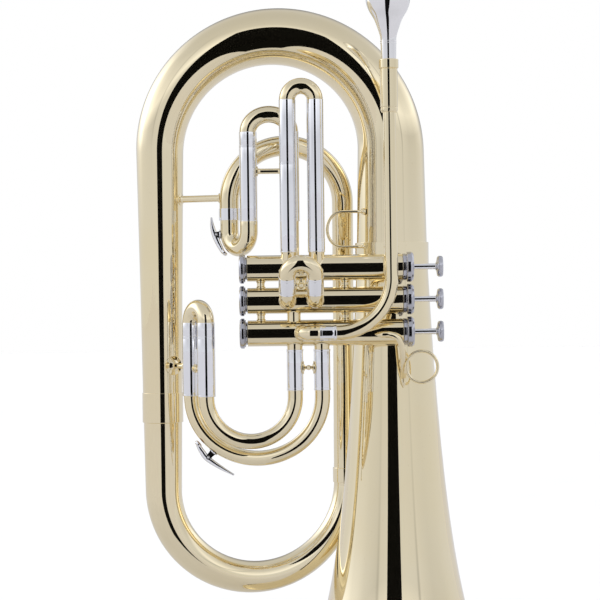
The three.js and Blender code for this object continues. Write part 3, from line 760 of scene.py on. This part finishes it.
def make_spring(row):
    label = f"valve_{row + 1}"
    low, high = ends_x(f"{label}_spring")
    coil_r, wire_r, turns, per_turn = 7.6, 0.62, 8.5, 28
    foot, head = low + wire_r, high - wire_r
    stations = []
    for i in range(int(turns * per_turn) + 1):
        turn = 2 * math.pi * i / per_turn
        share = np.clip((i / per_turn - 0.8) / (turns - 1.6), 0, 1)
        at = vec(foot + (head - foot) * share, VALVE_Y, VALVE_Z[row])
        at += coil_r * (math.cos(turn) * ALONG_Y + math.sin(turn) * UP)
        stations.append((at, wire_r))
    shape = Shape()
    wire(shape, stations, ALONG_X, 10)
    piece = make_piece(f"{label}_coil", shape, [steel], [f"{label}_spring"], crease=80)
    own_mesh(piece)


def make_casing_links():
    for lower in (1, 2):
        upper = lower - 1
        pair = f"{upper + 1}_{lower + 1}"
        low, high = VALVE_Z[lower] + CASING_R, VALVE_Z[upper] - CASING_R
        waist = (low + high) / 2
        for side in ("left", "right"):
            x = middle(f"spacer_{pair}_{side}")[0]
            shape = Shape()
            profile = [
                (0, low - 0.6), (4.6, low - 0.5), (4.3, low + 0.5), (3.6, low + 1.5, 0.8), (3.5, waist, 1.0),
                (3.6, high - 1.5, 0.8), (4.3, high - 0.5), (4.6, high + 0.5), (0, high + 0.6),
            ]
            turned(shape, profile, (x, VALVE_Y, 0), UP, 40, corner=0.35)
            make_piece(f"casing_post_{pair}_{side}", shape, [brass], [f"spacer_{pair}_{side}"])
        x = middle(f"valve_link_{pair}")[0]
        stations = column(x, VALVE_Y, VALVE_Z[lower] + 13, VALVE_Z[upper] - 13, 6.2)
        shape = Shape()
        tube(shape, stations, start_on=(lower, UP), end_on=(upper, -UP))
        make_piece(f"valve_passage_{pair}", shape, [brass], [f"valve_link_{pair}"])


# ---- slides ----

def sleeve_end(shape, at, up, size, paint=0):
    """The lip that finishes an outer sleeve at its seam."""
    r = size["sleeve"]
    profile = [(r - 0.35, -2.2), (r + 0.04, -2.2), (r + 0.04, 0), (size["inner"] + 0.25, 0)]
    turned(shape, profile, at, up, SIDES, paint, closed=True, corner=0.1)


def outer_sleeve(shape, x, y, low, seam, size, held_r):
    """An upright outer sleeve, with a fine ring where it is soldered to a tube or closed and a lip on top."""
    r = size["sleeve"]
    tube(shape, column(x, y, low, seam - SEAM, r, steps=4), r - size["inner"] - 0.2)
    band(shape, (x, y, 0), low - 0.1, low + 0.9, held_r - 0.3, r + 0.08)
    sleeve_end(shape, (x, y, seam), UP, size)


def crook(label, feet, tops, up, rise, size, inside):
    """A slide's bow, its two nickel shoulders above the seams, and the legs that run down in the sleeves."""
    shape = Shape()
    centre = (tops[0] + tops[1]) / 2
    out = tops[0] - centre
    across = unit(np.cross(up, out))
    r, leg_r, bore = size["crook"], size["inner"], size["bore"]
    shoulder_r = size["sleeve"] - 0.1
    stations = chain(
        line(feet[0] + up * SEAM, tops[0], r, steps=3),
        bend(centre, out, up * rise, 180, 48, r),
        line(tops[1], feet[1] + up * SEAM, r, steps=3),
    )
    tube(shape, stations, r - bore, across)
    for foot, top, reach in zip(feet, tops, inside):
        height = max(np.dot(top - foot, up), 1.0)
        leg = line(foot - up * reach, foot + up * min(height, 6), leg_r, steps=4)
        tube(shape, leg, leg_r - bore, across, 1)
        if height > 4:
            shoulder = line(foot + up * 0.35, foot + up * (height - 0.2), shoulder_r)
            tube(shape, shoulder, shoulder_r - bore - 0.5, across, 1)
    make_piece(f"{label}_crook", shape, [brass, nickel], [f"{label}_slide_crook"], f"{label}_slide")


def make_main_slide():
    lx, y, low, seam = upright("main_slide_sleeve_left")
    rx = middle("main_slide_sleeve_right")[0]
    r, k = WIDE["sleeve"], NARROW["crook"]
    shape = Shape()
    outer_sleeve(shape, lx, y, low, seam, WIDE, r)
    make_piece("main_sleeve_left", shape, [nickel], ["main_slide_sleeve_left"])

    shape = Shape()
    casing_z = VALVE_Z[0]
    knuckle = spline([
        (vec(rx, y - 3.2, casing_z + 13.4), k), (vec(rx, y - 0.7, casing_z + 17), k),
        (vec(rx, y, casing_z + 22), k), (vec(rx, y, MAIN_LOW), k),
    ], 6)
    tube(shape, [(vec(rx, y - 3.6, casing_z + 12.6), k)] + knuckle, paint=1, start_on=(0, UP))
    outer_sleeve(shape, rx, y, low, seam, WIDE, k)
    make_piece("main_sleeve_right", shape, [nickel, brass], ["main_slide_sleeve_right"])

    z = middle("main_slide_brace")[2]
    turned_brace("main_brace", "main_slide_brace", vec(lx, y, z), vec(rx, y, z), r, r, (4.6, 4.6), 2.45)
    feet = [vec(lx, y, seam), vec(rx, y, seam)]
    tops = [vec(lx, y, MAIN_TOP["bow"]), vec(rx, y, MAIN_TOP["bow"])]
    crook("main", feet, tops, UP, MAIN_TOP["rise"], WIDE, [50, 50])


def make_first_slide():
    seams = []
    k = NARROW["crook"] - 0.2
    for side in ("left", "right"):
        low, high = corners(f"first_slide_sleeve_{side}")
        x, y, seam = (low[0] + high[0]) / 2, low[1] + NARROW["sleeve"], high[2]
        foot = [
            (vec(x, y + 0.9, VALVE_Z[0] + 12.4), k), (vec(x, y + 0.3, VALVE_Z[0] + 13.3), k),
            (vec(x, y, FIRST_LOW + 3), k),
        ]
        shape = Shape()
        tube(shape, foot, paint=1, start_on=(0, UP))
        outer_sleeve(shape, x, y, FIRST_LOW, seam, NARROW, k)
        make_piece(f"first_sleeve_{side}", shape, [nickel, brass], [f"first_slide_sleeve_{side}"])
        seams.append(vec(x, y, seam))
    tops = [vec(*seam[:2], FIRST_TOP) for seam in seams]
    rise = (seams[1][0] - seams[0][0]) / 2
    crook("first", seams, tops, UP, rise, NARROW, [75, seams[1][2] - FIRST_LOW])


def make_second_slide():
    z = VALVE_Z[1]
    lean = math.radians(SECOND["tilt"])
    up = vec(0, -math.sin(lean), math.cos(lean))
    size, r, k = SECOND["bend"], NARROW["sleeve"], NARROW["crook"]
    seams = []
    for side in ("left", "right"):
        x = middle(f"second_slide_sleeve_{side}")[0]
        centre = vec(x, SECOND["out"], z + size)
        turn = bend(centre, -UP * size, -ALONG_Y * size, 90 - SECOND["tilt"], 20, k)
        corner = turn[-1][0]
        start = [(vec(x, VALVE_Y - CASING_R - 0.9, z), k)]
        sleeve = line(corner + up * 0.3, corner + up * (SECOND["sleeve"] - 0.4), r, steps=4)
        seam = corner + up * SECOND["sleeve"]
        shape = Shape()
        tube(shape, start + turn + [(corner + up * 2.5, k)], WALL, ALONG_X, start_on=(1, -ALONG_Y))
        tube(shape, sleeve, r - NARROW["inner"] - 0.2, ALONG_X, 1)
        band(shape, corner, 0.1, 1.0, k - 0.3, r + 0.1, up, 1, 0.25, SIDES)
        sleeve_end(shape, seam, up, NARROW, 1)
        make_piece(f"second_sleeve_{side}", shape, [brass, nickel], [f"second_slide_sleeve_{side}"])
        seams.append(seam)
    lift = up * (SECOND["sleeve"] * 0.5)
    turned_brace("second_brace", None, seams[0] - lift, seams[1] - lift, r, r, (3.0, 3.0), 1.2, 2.9)
    tops = [seam + up for seam in seams]
    rise = (seams[1][0] - seams[0][0]) / 2
    crook("second", seams, tops, up, rise, NARROW, [15, 15])

    crown = (tops[0] + tops[1]) / 2 + up * (rise - k)
    nub = [
        (0, -1.0), (3.2, -0.8), (2.6, 0.6, 0.4), (1.6, 1.5, 0.5),
        (2.3, 2.7, 0.6), (1.9, 3.9, 0.6), (0, 4.3),
    ]
    shape = Shape()
    turned(shape, nub, crown, -up, 32, corner=0.3)
    make_piece("second_crook_nub", shape, [brass], body="second_slide")


def make_third_slide():
    feet = []
    for side in ("front", "rear"):
        x, y, low, seam = upright(f"third_slide_sleeve_{side}")
        feet.append(vec(x, y, seam))
    r, port = THIRD_R, PORT_SLEEVE
    for side, x, foot, drop in zip(("inner", "outer"), THIRD_PORTS, feet, THIRD_DROP):
        size = (x - foot[0]) / 2
        centre = vec(x - size, 0, THIRD_LOW - 1.5)
        turn = drift(half_turn(centre, size, -drop, (r, r, r), 34), VALVE_Y, foot[1])
        stations = chain(
            [(vec(x, VALVE_Y, VALVE_Z[2] - 13), r)],
            column(x, VALVE_Y, VALVE_Z[2] - 15, THIRD_LOW, r, steps=5),
            turn,
            line(turn[-1][0], vec(*foot[:2], THIRD_LOW - SEAM), r, steps=1),
        )
        shape = Shape()
        tube(shape, stations, start_on=(2, -UP))
        lining = column(x, VALVE_Y, port["low"] + 0.2, port["high"] - 0.3, port["r"], steps=3)
        tube(shape, lining, 0.7, paint=1)
        for low in (port["low"], port["high"] - 2.2):
            band(shape, (x, VALVE_Y, 0), low, low + 2.2, r - 0.2, port["r"] + 0.25, paint=1)
        make_piece(f"third_pipe_{side}", shape, [brass, nickel], [f"third_valve_pipe_{side}"])

    across = unit(np.cross(UP, feet[0] - feet[1]))
    wide = WIDE["sleeve"]
    for side, foot in zip(("front", "rear"), feet):
        low = vec(*foot[:2], THIRD_LOW)
        shape = Shape()
        tube(shape, line(low, foot - UP * SEAM, wide, steps=4), wide - WIDE["inner"] - 0.2, across)
        band(shape, low, -0.1, 1.0, r - 0.2, wide + 0.1)
        sleeve_end(shape, foot, UP, WIDE)
        make_piece(f"third_sleeve_{side}", shape, [nickel], [f"third_slide_sleeve_{side}"])
    tops = [vec(*foot[:2], THIRD_TOP) for foot in feet]
    rise = np.linalg.norm(feet[0] - feet[1]) / 2
    crook("third", feet, tops, UP, rise, WIDE, [50, 50])

    ports = [vec(x, VALVE_Y, THIRD_BRACE_Z) for x in THIRD_PORTS]
    turned_brace("third_port_brace", None, *ports, port["r"], port["r"], (6.0, 6.0), 1.3, 2.4)
    legs = [vec(*foot[:2], THIRD_BRACE_Z) for foot in reversed(feet)]
    turned_brace("third_sleeve_brace", None, *legs, wide, wide, (4.0, 4.0), 1.8)


# ---- leadpipe and mouthpiece ----

def make_leadpipe():
    x, y = middle("receiver")[:2]
    z = VALVE_Z[2]
    size = LEAD["bend"]
    top_r, low_r = LEAD["top_r"], LEAD["low_r"]
    joint_x, elbow_x = ends_x("leadpipe")[0], ends_x("leadpipe_ferrule")[0]
    centre = vec(x - size, y, z + size)
    stations = chain(
        column(x, y, LEAD["top"], z + size, top_r, top_r + 0.7, 10),
        bend(centre, ALONG_X * size, -UP * size, 90, 36, top_r + 0.7, low_r),
        line(vec(x - size, y, z), vec(joint_x, y, z), low_r, steps=1),
    )
    shape = Shape()
    tube(shape, stations)
    make_piece("mouthpipe", shape, [brass], ["leadpipe"])

    shape = Shape()
    r = low_r + 0.35
    tube(shape, line(vec(joint_x - 0.2, y, z), vec(elbow_x, y, z), r), 0.7)
    for low in (elbow_x, joint_x - 2.4):
        band(shape, (0, y, z), low, low + 2.2, low_r - 0.2, r + 0.45, ALONG_X)
    make_piece("mouthpipe_sleeve", shape, [nickel], ["leadpipe_ferrule"])

    elbow, elbow_r, turn_x = 8.5, 7.2, -20.5
    corner = vec(turn_x, y + elbow, z)
    end = vec(turn_x - elbow, y + elbow + 0.01, z)
    stations = chain(
        line(vec(elbow_x - SEAM, y, z), vec(turn_x, y, z), elbow_r),
        bend(corner, -ALONG_Y * elbow, -ALONG_X * elbow, 90, 24, elbow_r),
        [(end, elbow_r)],
    )
    shape = Shape()
    tube(shape, stations, WALL, UP, end_on=(2, -ALONG_Y))
    make_piece("mouthpipe_elbow", shape, [brass], ["leadpipe_elbow"])


def make_receiver():
    x, y, low, high = upright("receiver")
    profile = [
        (5.7, low - 0.1), (7.0, low), (7.9, low + 1.8), (7.9, low + 3.4), (7.6, low + 3.8), (7.6, low + 4.6),
        (8.0, low + 5.0), (8.0, high - 9.4), (7.7, high - 9.0), (7.7, high - 8.4), (8.85, high - 7.9),
        (8.85, high, 0.7), (7.15, high, 0.4), (6.9, low + 9), (5.7, low + 7.5),
    ]
    shape = Shape()
    turned(shape, profile, (x, y, 0), UP, 80, closed=True, corner=0.3)
    make_piece("mouthpiece_receiver", shape, [brass], ["receiver"])


def make_mouthpiece():
    x, y, low, top = upright("mouthpiece")
    mouth = corners("receiver")[1][2]
    outer = smooth_profile([
        (5.7, low), (6.75, mouth), (7.05, mouth + 12), (7.2, mouth + 19), (8.6, mouth + 25),
        (12.6, mouth + 36), (17.2, mouth + 44), (19.7, mouth + 51), (20.2, mouth + 58), (20.2, mouth + 62.5),
    ])
    rim = [
        (20.2, mouth + 63.6), (19.8, mouth + 65.4), (18.8, mouth + 66.9), (17.2, mouth + 67.7),
        (16.0, top), (14.9, mouth + 67.3), (13.7, mouth + 66.2), (13.0, mouth + 64.8),
    ]
    cup = smooth_profile([
        (12.7, mouth + 63), (12.3, mouth + 55), (10.6, mouth + 45), (6.6, mouth + 35),
        (3.3, mouth + 28), (3.2, mouth + 22), (3.9, mouth), (4.9, low),
    ])
    shape = Shape()
    turned(shape, outer + rim + cup, (x, y, 0), UP, 96, closed=True)
    for z in (mouth + 14.5, mouth + 16.3):
        turned(shape, bead(7.1, z, 0.35, 0, 345, 12), (x, y, 0), UP, closed=True)
    make_piece("mouthpiece_cup", shape, [silver], ["mouthpiece"], "mouthpiece_body")


# ---- rings, braces and water keys ----


def make_finger_ring():
    x, y, z = 79.5, -60.0, 349.8
    ring_r, thick, half = 14.3, 1.45, 2.3
    rod, z_top = 2.9, 379.8
    surface = VALVE_Y - CASING_R - rod
    turns = np.linspace(0, 2 * math.pi, 28, endpoint=False)
    section = [(ring_r + thick * math.cos(t), half * math.sin(t)) for t in turns]
    shape = Shape()
    turned(shape, section, (x, y, z), ALONG_Y, 96, closed=True)
    wire(shape, spline([
        (vec(37, surface + 1.6, z_top), 0.5), (vec(40, surface + 0.8, z_top), rod * 0.72),
        (vec(44, surface, z_top), rod), (vec(51, surface, 379.4), rod), (vec(57, -68.4, 376.6), rod),
        (vec(60.8, -66, 370), rod), (vec(62.4, -61, 358), rod), (vec(63.0, -52, 347.5), rod),
        (vec(63.2, -bell_radius(340) - 2.2, 340), rod),
        (vec(63.3, -bell_radius(335) - 1.4, 335), rod * 0.85),
        (vec(63.4, -bell_radius(330) - 0.2, 330), 0.5),
    ], 10), UP, 32)
    make_piece("finger_hook", shape, [brass], ["finger_ring"])


def make_thumb_ring():
    x, y, low, high, r = 9, -20.0, 461.0, 494.0, 1.4
    half, wide = (high - low) / 2, 14
    root = BELL_X - math.sqrt(33.6 ** 2 - y ** 2) - 0.4
    stations = chain(
        line(vec(root, y, low), vec(x, y, low), r),
        bend(vec(x, y, low + half), -UP * half, -ALONG_X * wide, 180, 48, r),
        line(vec(x, y, high), vec(root, y, high), r),
    )
    shape = Shape()
    wire(shape, stations, ALONG_Y, 20)
    normal = unit(vec(root - BELL_X, y, 0))
    foot = [(0, -1.0), (3.4, -0.9), (3.3, 0.0), (1.9, 0.9), (1.2, 2.2), (0, 2.3)]
    for z in (low, high):
        turned(shape, foot, vec(root, y, z), normal, 32, corner=0.3)
    make_piece("thumb_loop", shape, [brass], ["thumb_ring"])


def turned_brace(name, node, start, end, start_r, end_r, flanges, waist, ball=0):
    """A turned stay between two tubes: a flange on each, a slim waist and, if wanted, a ball between."""
    way = end - start
    low, high = start_r, np.linalg.norm(way) - end_r
    centre = (low + high) / 2
    rise = min(3.0, (high - low) * 0.22)
    profile = [
        (0, low - 1.2), (flanges[0] * 0.98, low - 1.0), (flanges[0], low + 0.5),
        (max(flanges[0] * 0.6, waist), low + 0.9, 0.5), (waist, low + rise, 0.8),
    ]
    if ball:
        profile += [
            (waist, centre - ball, 0.3), (ball * 0.8, centre - ball * 0.6, 0.5), (ball, centre, 0.5),
            (ball * 0.8, centre + ball * 0.6, 0.5), (waist, centre + ball, 0.3),
        ]
    profile += [
        (waist, high - rise, 0.8), (max(flanges[1] * 0.6, waist), high - 0.9, 0.5),
        (flanges[1], high - 0.5), (flanges[1] * 0.98, high + 1.0), (0, high + 1.2),
    ]
    shape = Shape()
    turned(shape, profile, start, way, 56, corner=0.3)
    make_piece(name, shape, [brass], [node] if node else [])


def make_braces():
    z = middle("upper_brace")[2]
    ends = vec(BOW_LEFT_X, 0, z), vec(*LOOP_END[:2], z)
    turned_brace("upper_stay", "upper_brace", *ends, 20.9, LOOP_R["end"], (6.2, 4.8), 3.2)
    z = middle("lower_brace")[2]
    ends = vec(BOW_LEFT_X, 0, z), vec(*middle("third_slide_sleeve_rear")[:2], z)
    turned_brace("lower_stay", "lower_brace", *ends, 18.5, WIDE["sleeve"], (9.0, 5.0), 2.6)


PIN_R = 0.9  # of a water key's pin


def key_ear(shape, hinge, turn, way, side, reach):
    """One cheek of a water key's saddle, and the pin's head on its outer face."""
    gap, half_width = 2.7, 3.9
    head = [(0, -0.35), (1.35, -0.3), (1.35, 0.3), (0, 0.4)]
    turned(shape, head, hinge + ALONG_Y * turn * (half_width + 0.45), ALONG_Y * turn, 20, corner=0.2)
    middle_y = ALONG_Y * turn * (gap + half_width) / 2
    half = ALONG_Y * (half_width - gap) / 2
    arch = np.linspace(0, math.pi, 13)
    outline = [side * 2.2 * math.cos(t) - way * 2.2 * math.sin(t) for t in arch]
    outline += [way * (reach + 0.4) - side * 3.0, way * (reach + 0.4) + side * 3.0]
    faces = [[hinge + middle_y + p + half for p in outline], [hinge + middle_y + p - half for p in outline]]
    shape.loft(faces)
    shape.plate(faces[0])
    shape.plate(faces[1][::-1])


def key_mount(label, hinge, tube_at):
    """A water key's saddle, with its pin and its coiled spring."""
    way = unit(tube_at - hinge)
    side = unit(np.cross(way, ALONG_Y))
    pin_half = ALONG_Y * 4.4
    shape = Shape()
    wire(shape, line(hinge - pin_half, hinge + pin_half, PIN_R), UP, 20)
    for turn in (-1, 1):
        key_ear(shape, hinge, turn, way, side, np.linalg.norm(tube_at - hinge))
    base = [(0, -0.8), (4.6, -0.7), (4.4, 0.5), (0, 0.7)]
    turned(shape, base, tube_at - way * 0.2, -way, 40, corner=0.3)
    coil = []
    for i in range(61):
        turn = 2 * math.pi * i / 12
        around = side * 1.5 * math.cos(turn) + way * 1.5 * math.sin(turn)
        coil.append((hinge + around + ALONG_Y * (-2.4 + i * 0.08), 0.24))
    wire(shape, coil, ALONG_Y, 8)
    make_piece(f"{label}_mount", shape, [nickel], [f"{label}_saddle"], crease=50)


def key_arm(label, hinge, tube_at, cup, cup_axis, tip):
    """A water key's lever, with its hinge tube, finger end and corked cup."""
    shape = Shape()
    band(shape, hinge, -2.3, 2.3, PIN_R + 0.15, 1.95, ALONG_Y, corner=0.25, sides=32)
    bow = unit(tube_at - hinge) * -1.5
    spine = spline([
        (tip, 0.8), (tip + (hinge - tip) * 0.5 + bow, 2.0), (hinge + bow * 1.1, 2.8),
        (hinge + (cup - hinge) * 0.55 + bow, 2.6), (cup + bow * 0.4, 1.9),
    ], 10)
    flat_bar(shape, spine, ALONG_Y, [3.1, 2.4, 2.3, 2.2, 2.6])
    seat = [(0, -1.9), (2.2, -1.8, 0.5), (3.6, -0.9, 0.7), (3.7, 1.1), (3.2, 1.15), (3.1, 0.4), (0, 0.3)]
    turned(shape, seat, cup, cup_axis, 40, corner=0.25)
    turned(shape, [(0, 0.2), (3.0, 0.25), (3.0, 1.6), (0, 1.6)], cup, cup_axis, 36, 1, corner=0.3)
    make_piece(f"{label}_arm", shape, [nickel, cork], [f"{label}_lever"], label)


def flat_bar(shape, spine, across, widths):
    """A bar of flattened section along a spine of (point, half thickness), its widths spread along it."""
    rings = []
    shares = np.linspace(0, len(widths) - 1, len(spine))
    wide_at = np.interp(shares, range(len(widths)), widths)
    turn = np.linspace(0, 2 * np.pi, 24, endpoint=False)
    for (at, r), (tangent, a, b), half in zip(spine, tube_frames(spine, across), wide_at):
        wide = np.sign(np.cos(turn)) * np.abs(np.cos(turn)) ** 0.7 * half
        thin = np.sign(np.sin(turn)) * np.abs(np.sin(turn)) ** 0.7 * r
        rings.append(at + np.outer(wide, a) + np.outer(thin, b))
    shape.plate(rings[0][::-1])
    shape.loft(rings)
    shape.plate(rings[-1])


def make_water_keys():
    y = LOOP_END[1]
    hinge, tube_at = vec(-108.4, y, 474.1), vec(-104.9, y, 474.1)
    key_mount("drain_key", hinge, tube_at)
    key_arm("drain_key", hinge, tube_at, vec(-101.6, -24.5, 457), vec(0.72, 0, 0.69), vec(-113, y, 490))
    hinge, tube_at = vec(-117.4, -40.5, 268), vec(-113, -40.5, 272.9)
    key_mount("third_key", hinge, tube_at)
    key_arm("third_key", hinge, tube_at, vec(-126.8, -39.5, 280), vec(0.75, 0, 0.66), vec(-94.1, -43, 251.5))


# ---- studio ----

# brightness of the room by compass turn, in degrees from the camera's side towards +X
PANELS = [
    (-180, 0.20), (-164, 0.34), (-138, 1.0), (-108, 1.7), (-88, 1.0), (-62, 0.72), (-40, 0.62), (-36, 0.48),
    (-33, 0.68), (-20, 0.72), (20, 0.72), (36, 0.70), (39, 0.46), (42, 0.72), (66, 0.62), (92, 0.64),
    (128, 0.85), (150, 0.50), (166, 0.32), (180, 0.20),
]
# share of it by height, with a soft band of more light where the bell's flare mirrors it
HEIGHTS = [(0.0, 0.8), (0.1, 0.72), (0.2, 0.68), (0.34, 1.0), (0.7, 0.62), (1.0, 0.55)]
OVERHEAD = 0.72
ROOM_LEVEL = 1.5
SOFT_LIGHT = 1.12  # what matt surfaces get, and the floor with them
NEAR_GLOW, FLOOR_GLOW = 0.68, 0.74  # how bright the metal sees the floor, near the instrument and far off
RED_TINT, BLUE_TINT = 0.98, 1.07  # of the panels: the first reflection in brass is pale, the second golden


def grey_ramp(n, where, stops):
    """A ramp of greys by place, each from 0 to 1."""
    ramp = n.add("ShaderNodeValToRGB", Fac=where)
    elements = ramp.color_ramp.elements
    while len(elements) < len(stops):
        elements.new(0.5)
    for element, (place, level) in zip(elements, stops):
        element.position = place
        element.color = (level, level, level, 1)
    return ramp.outputs["Color"]


def make_world():
    """A bright room of soft panels. The camera itself sees plain white."""
    world = bpy.data.worlds.new("studio")
    bpy.context.scene.world = world
    world.use_nodes = True
    world.node_tree.nodes.clear()
    n = Nodes(world.node_tree)

    way = n.add("ShaderNodeTexCoord").outputs["Generated"]
    x, y, z = n.add("ShaderNodeSeparateXYZ", Vector=way).outputs
    turn = n.maths("ARCTAN2", x, n.maths("MULTIPLY", y, -1.0))
    top = max(level for degrees, level in PANELS)
    stops = [((degrees + 180) / 360, level / top) for degrees, level in PANELS]
    panels = grey_ramp(n, n.span(turn, -math.pi, math.pi), stops)
    high_up = n.span(z, 0.45, 0.85, kind="SMOOTHSTEP")
    panels = n.mix(high_up, panels, OVERHEAD / top, "FLOAT")
    # the panels stop a little above the floor, where the room is as bright as the floor's far end
    off_floor = n.span(z, 0.0, 0.22, kind="SMOOTHSTEP")
    horizon = FLOOR_GLOW / (ROOM_LEVEL * HEIGHTS[0][1] * top)
    level = n.maths("MULTIPLY", n.mix(off_floor, horizon, panels, "FLOAT"), grey_ramp(n, z, HEIGHTS))
    red, blue = n.maths("MULTIPLY", level, RED_TINT), n.maths("MULTIPLY", level, BLUE_TINT)

    def light(colour, strength):
        return n.add("ShaderNodeBackground", Color=colour, Strength=strength).outputs[0]

    def choose(share, no, yes):
        node = n.add("ShaderNodeMixShader")
        for value, socket in zip((share, no, yes), node.inputs):
            n.put(value, socket)
        return node.outputs[0]

    seen = n.add("ShaderNodeLightPath").outputs
    room = light(n.colour(red, level, blue), top * ROOM_LEVEL)
    lit = choose(seen["Is Diffuse Ray"], room, light((1, 1, 1, 1), SOFT_LIGHT))
    n.add("ShaderNodeOutputWorld", Surface=choose(seen["Is Camera Ray"], lit, light((1, 1, 1, 1), 1.0)))


def stage_plane(name, corner_points, material, only_glossy=True):
    mesh = bpy.data.meshes.new(name)
    mesh.from_pydata(corner_points, [], [(0, 1, 2, 3)])
    mesh.materials.append(material)
    plane = bpy.data.objects.new(name, mesh)
    bpy.context.scene.collection.objects.link(plane)
    if only_glossy:
        plane.visible_camera = False
        plane.visible_diffuse = False
        plane.visible_shadow = False


def make_floor():
    """The pale floor, and over it the greyer one that only the metal mirrors. These are in metres."""
    floor = Paint("floor_paint")
    patch = floor.span(floor.noise(3, 4), 0.3, 0.7)
    tint = floor.mix(patch, (0.93, 0.93, 0.925, 1), (0.96, 0.96, 0.955, 1))
    floor.set(Base_Color=tint, Roughness=0.9)
    rug = Paint("grey_rug")
    weave = rug.span(rug.noise(4, 3), 0.3, 0.7, 0.94, 1.0)
    distance = rug.add("ShaderNodeVectorMath", operation="LENGTH")
    rug.put(rug.add("ShaderNodeTexCoord").outputs["Object"], distance.inputs[0])
    grey = rug.span(distance.outputs["Value"], 0.35, 1.3, NEAR_GLOW / SOFT_LIGHT, FLOOR_GLOW / SOFT_LIGHT)
    tint = rug.colour(grey, grey, rug.maths("MULTIPLY", grey, 1.06))
    rug.set(Base_Color=rug.mix(weave, (0, 0, 0, 1), tint), Roughness=1.0, Specular_IOR_Level=0.0)
    reach, level = 14.0, -0.0004
    square = [(-reach, -reach), (reach, -reach), (reach, reach), (-reach, reach)]
    stage_plane("floor", [(x, y, level) for x, y in square], floor.material, False)
    stage_plane("rug", [(x, y, 0) for x, y in square], rug.material)


def make_flag():
    """Black felt by the camera and along the floor, for the dark bands in the metal. In metres."""
    flag = Paint("black_felt")
    fibre = flag.span(flag.noise(90, 4), 0.3, 0.7, 0.0035, 0.006)
    tint = flag.mix(fibre, (0, 0, 0, 1), (1, 1, 1, 1))
    flag.set(Base_Color=tint, Roughness=1.0, Specular_IOR_Level=0.0)
    x, half, y, top = -0.095, 0.33, -1.45, 1.54
    left, right = x - half, x + half
    stage_plane("flag", [(left, y, 0), (right, y, 0), (right, y, top), (left, y, top)], flag.material)
    near, lift = -0.5, 0.0004
    stage_plane("runner", [
        (left, y, lift), (right, y, lift), (x + 0.16, near, lift), (x - 0.06, near, lift),
    ], flag.material)


def make_camera():
    data = bpy.data.cameras.new("camera")
    data.sensor_width = 36
    data.lens = 114.3
    data.clip_end = 60
    camera = bpy.data.objects.new("camera", data)
    bpy.context.scene.collection.objects.link(camera)
    camera.location = (-0.0312, -1.8, 0.412)
    camera.rotation_euler = (math.radians(90), math.radians(0.7), 0)
    bpy.context.scene.camera = camera
    bpy.context.scene.view_settings.view_transform = "Standard"


# ---- the whole instrument ----

make_world()
make_floor()
make_flag()
make_camera()
make_bell()
make_bows()
make_loop()
make_drain_bend()
for valve_row in range(3):
    make_casing(valve_row)
    make_caps(valve_row)
    make_piston(valve_row)
    make_button(valve_row)
    make_spring(valve_row)
make_casing_links()
make_main_slide()
make_first_slide()
make_second_slide()
make_third_slide()
make_leadpipe()
make_receiver()
make_mouthpiece()
make_finger_ring()
make_thumb_ring()
make_braces()
make_water_keys()
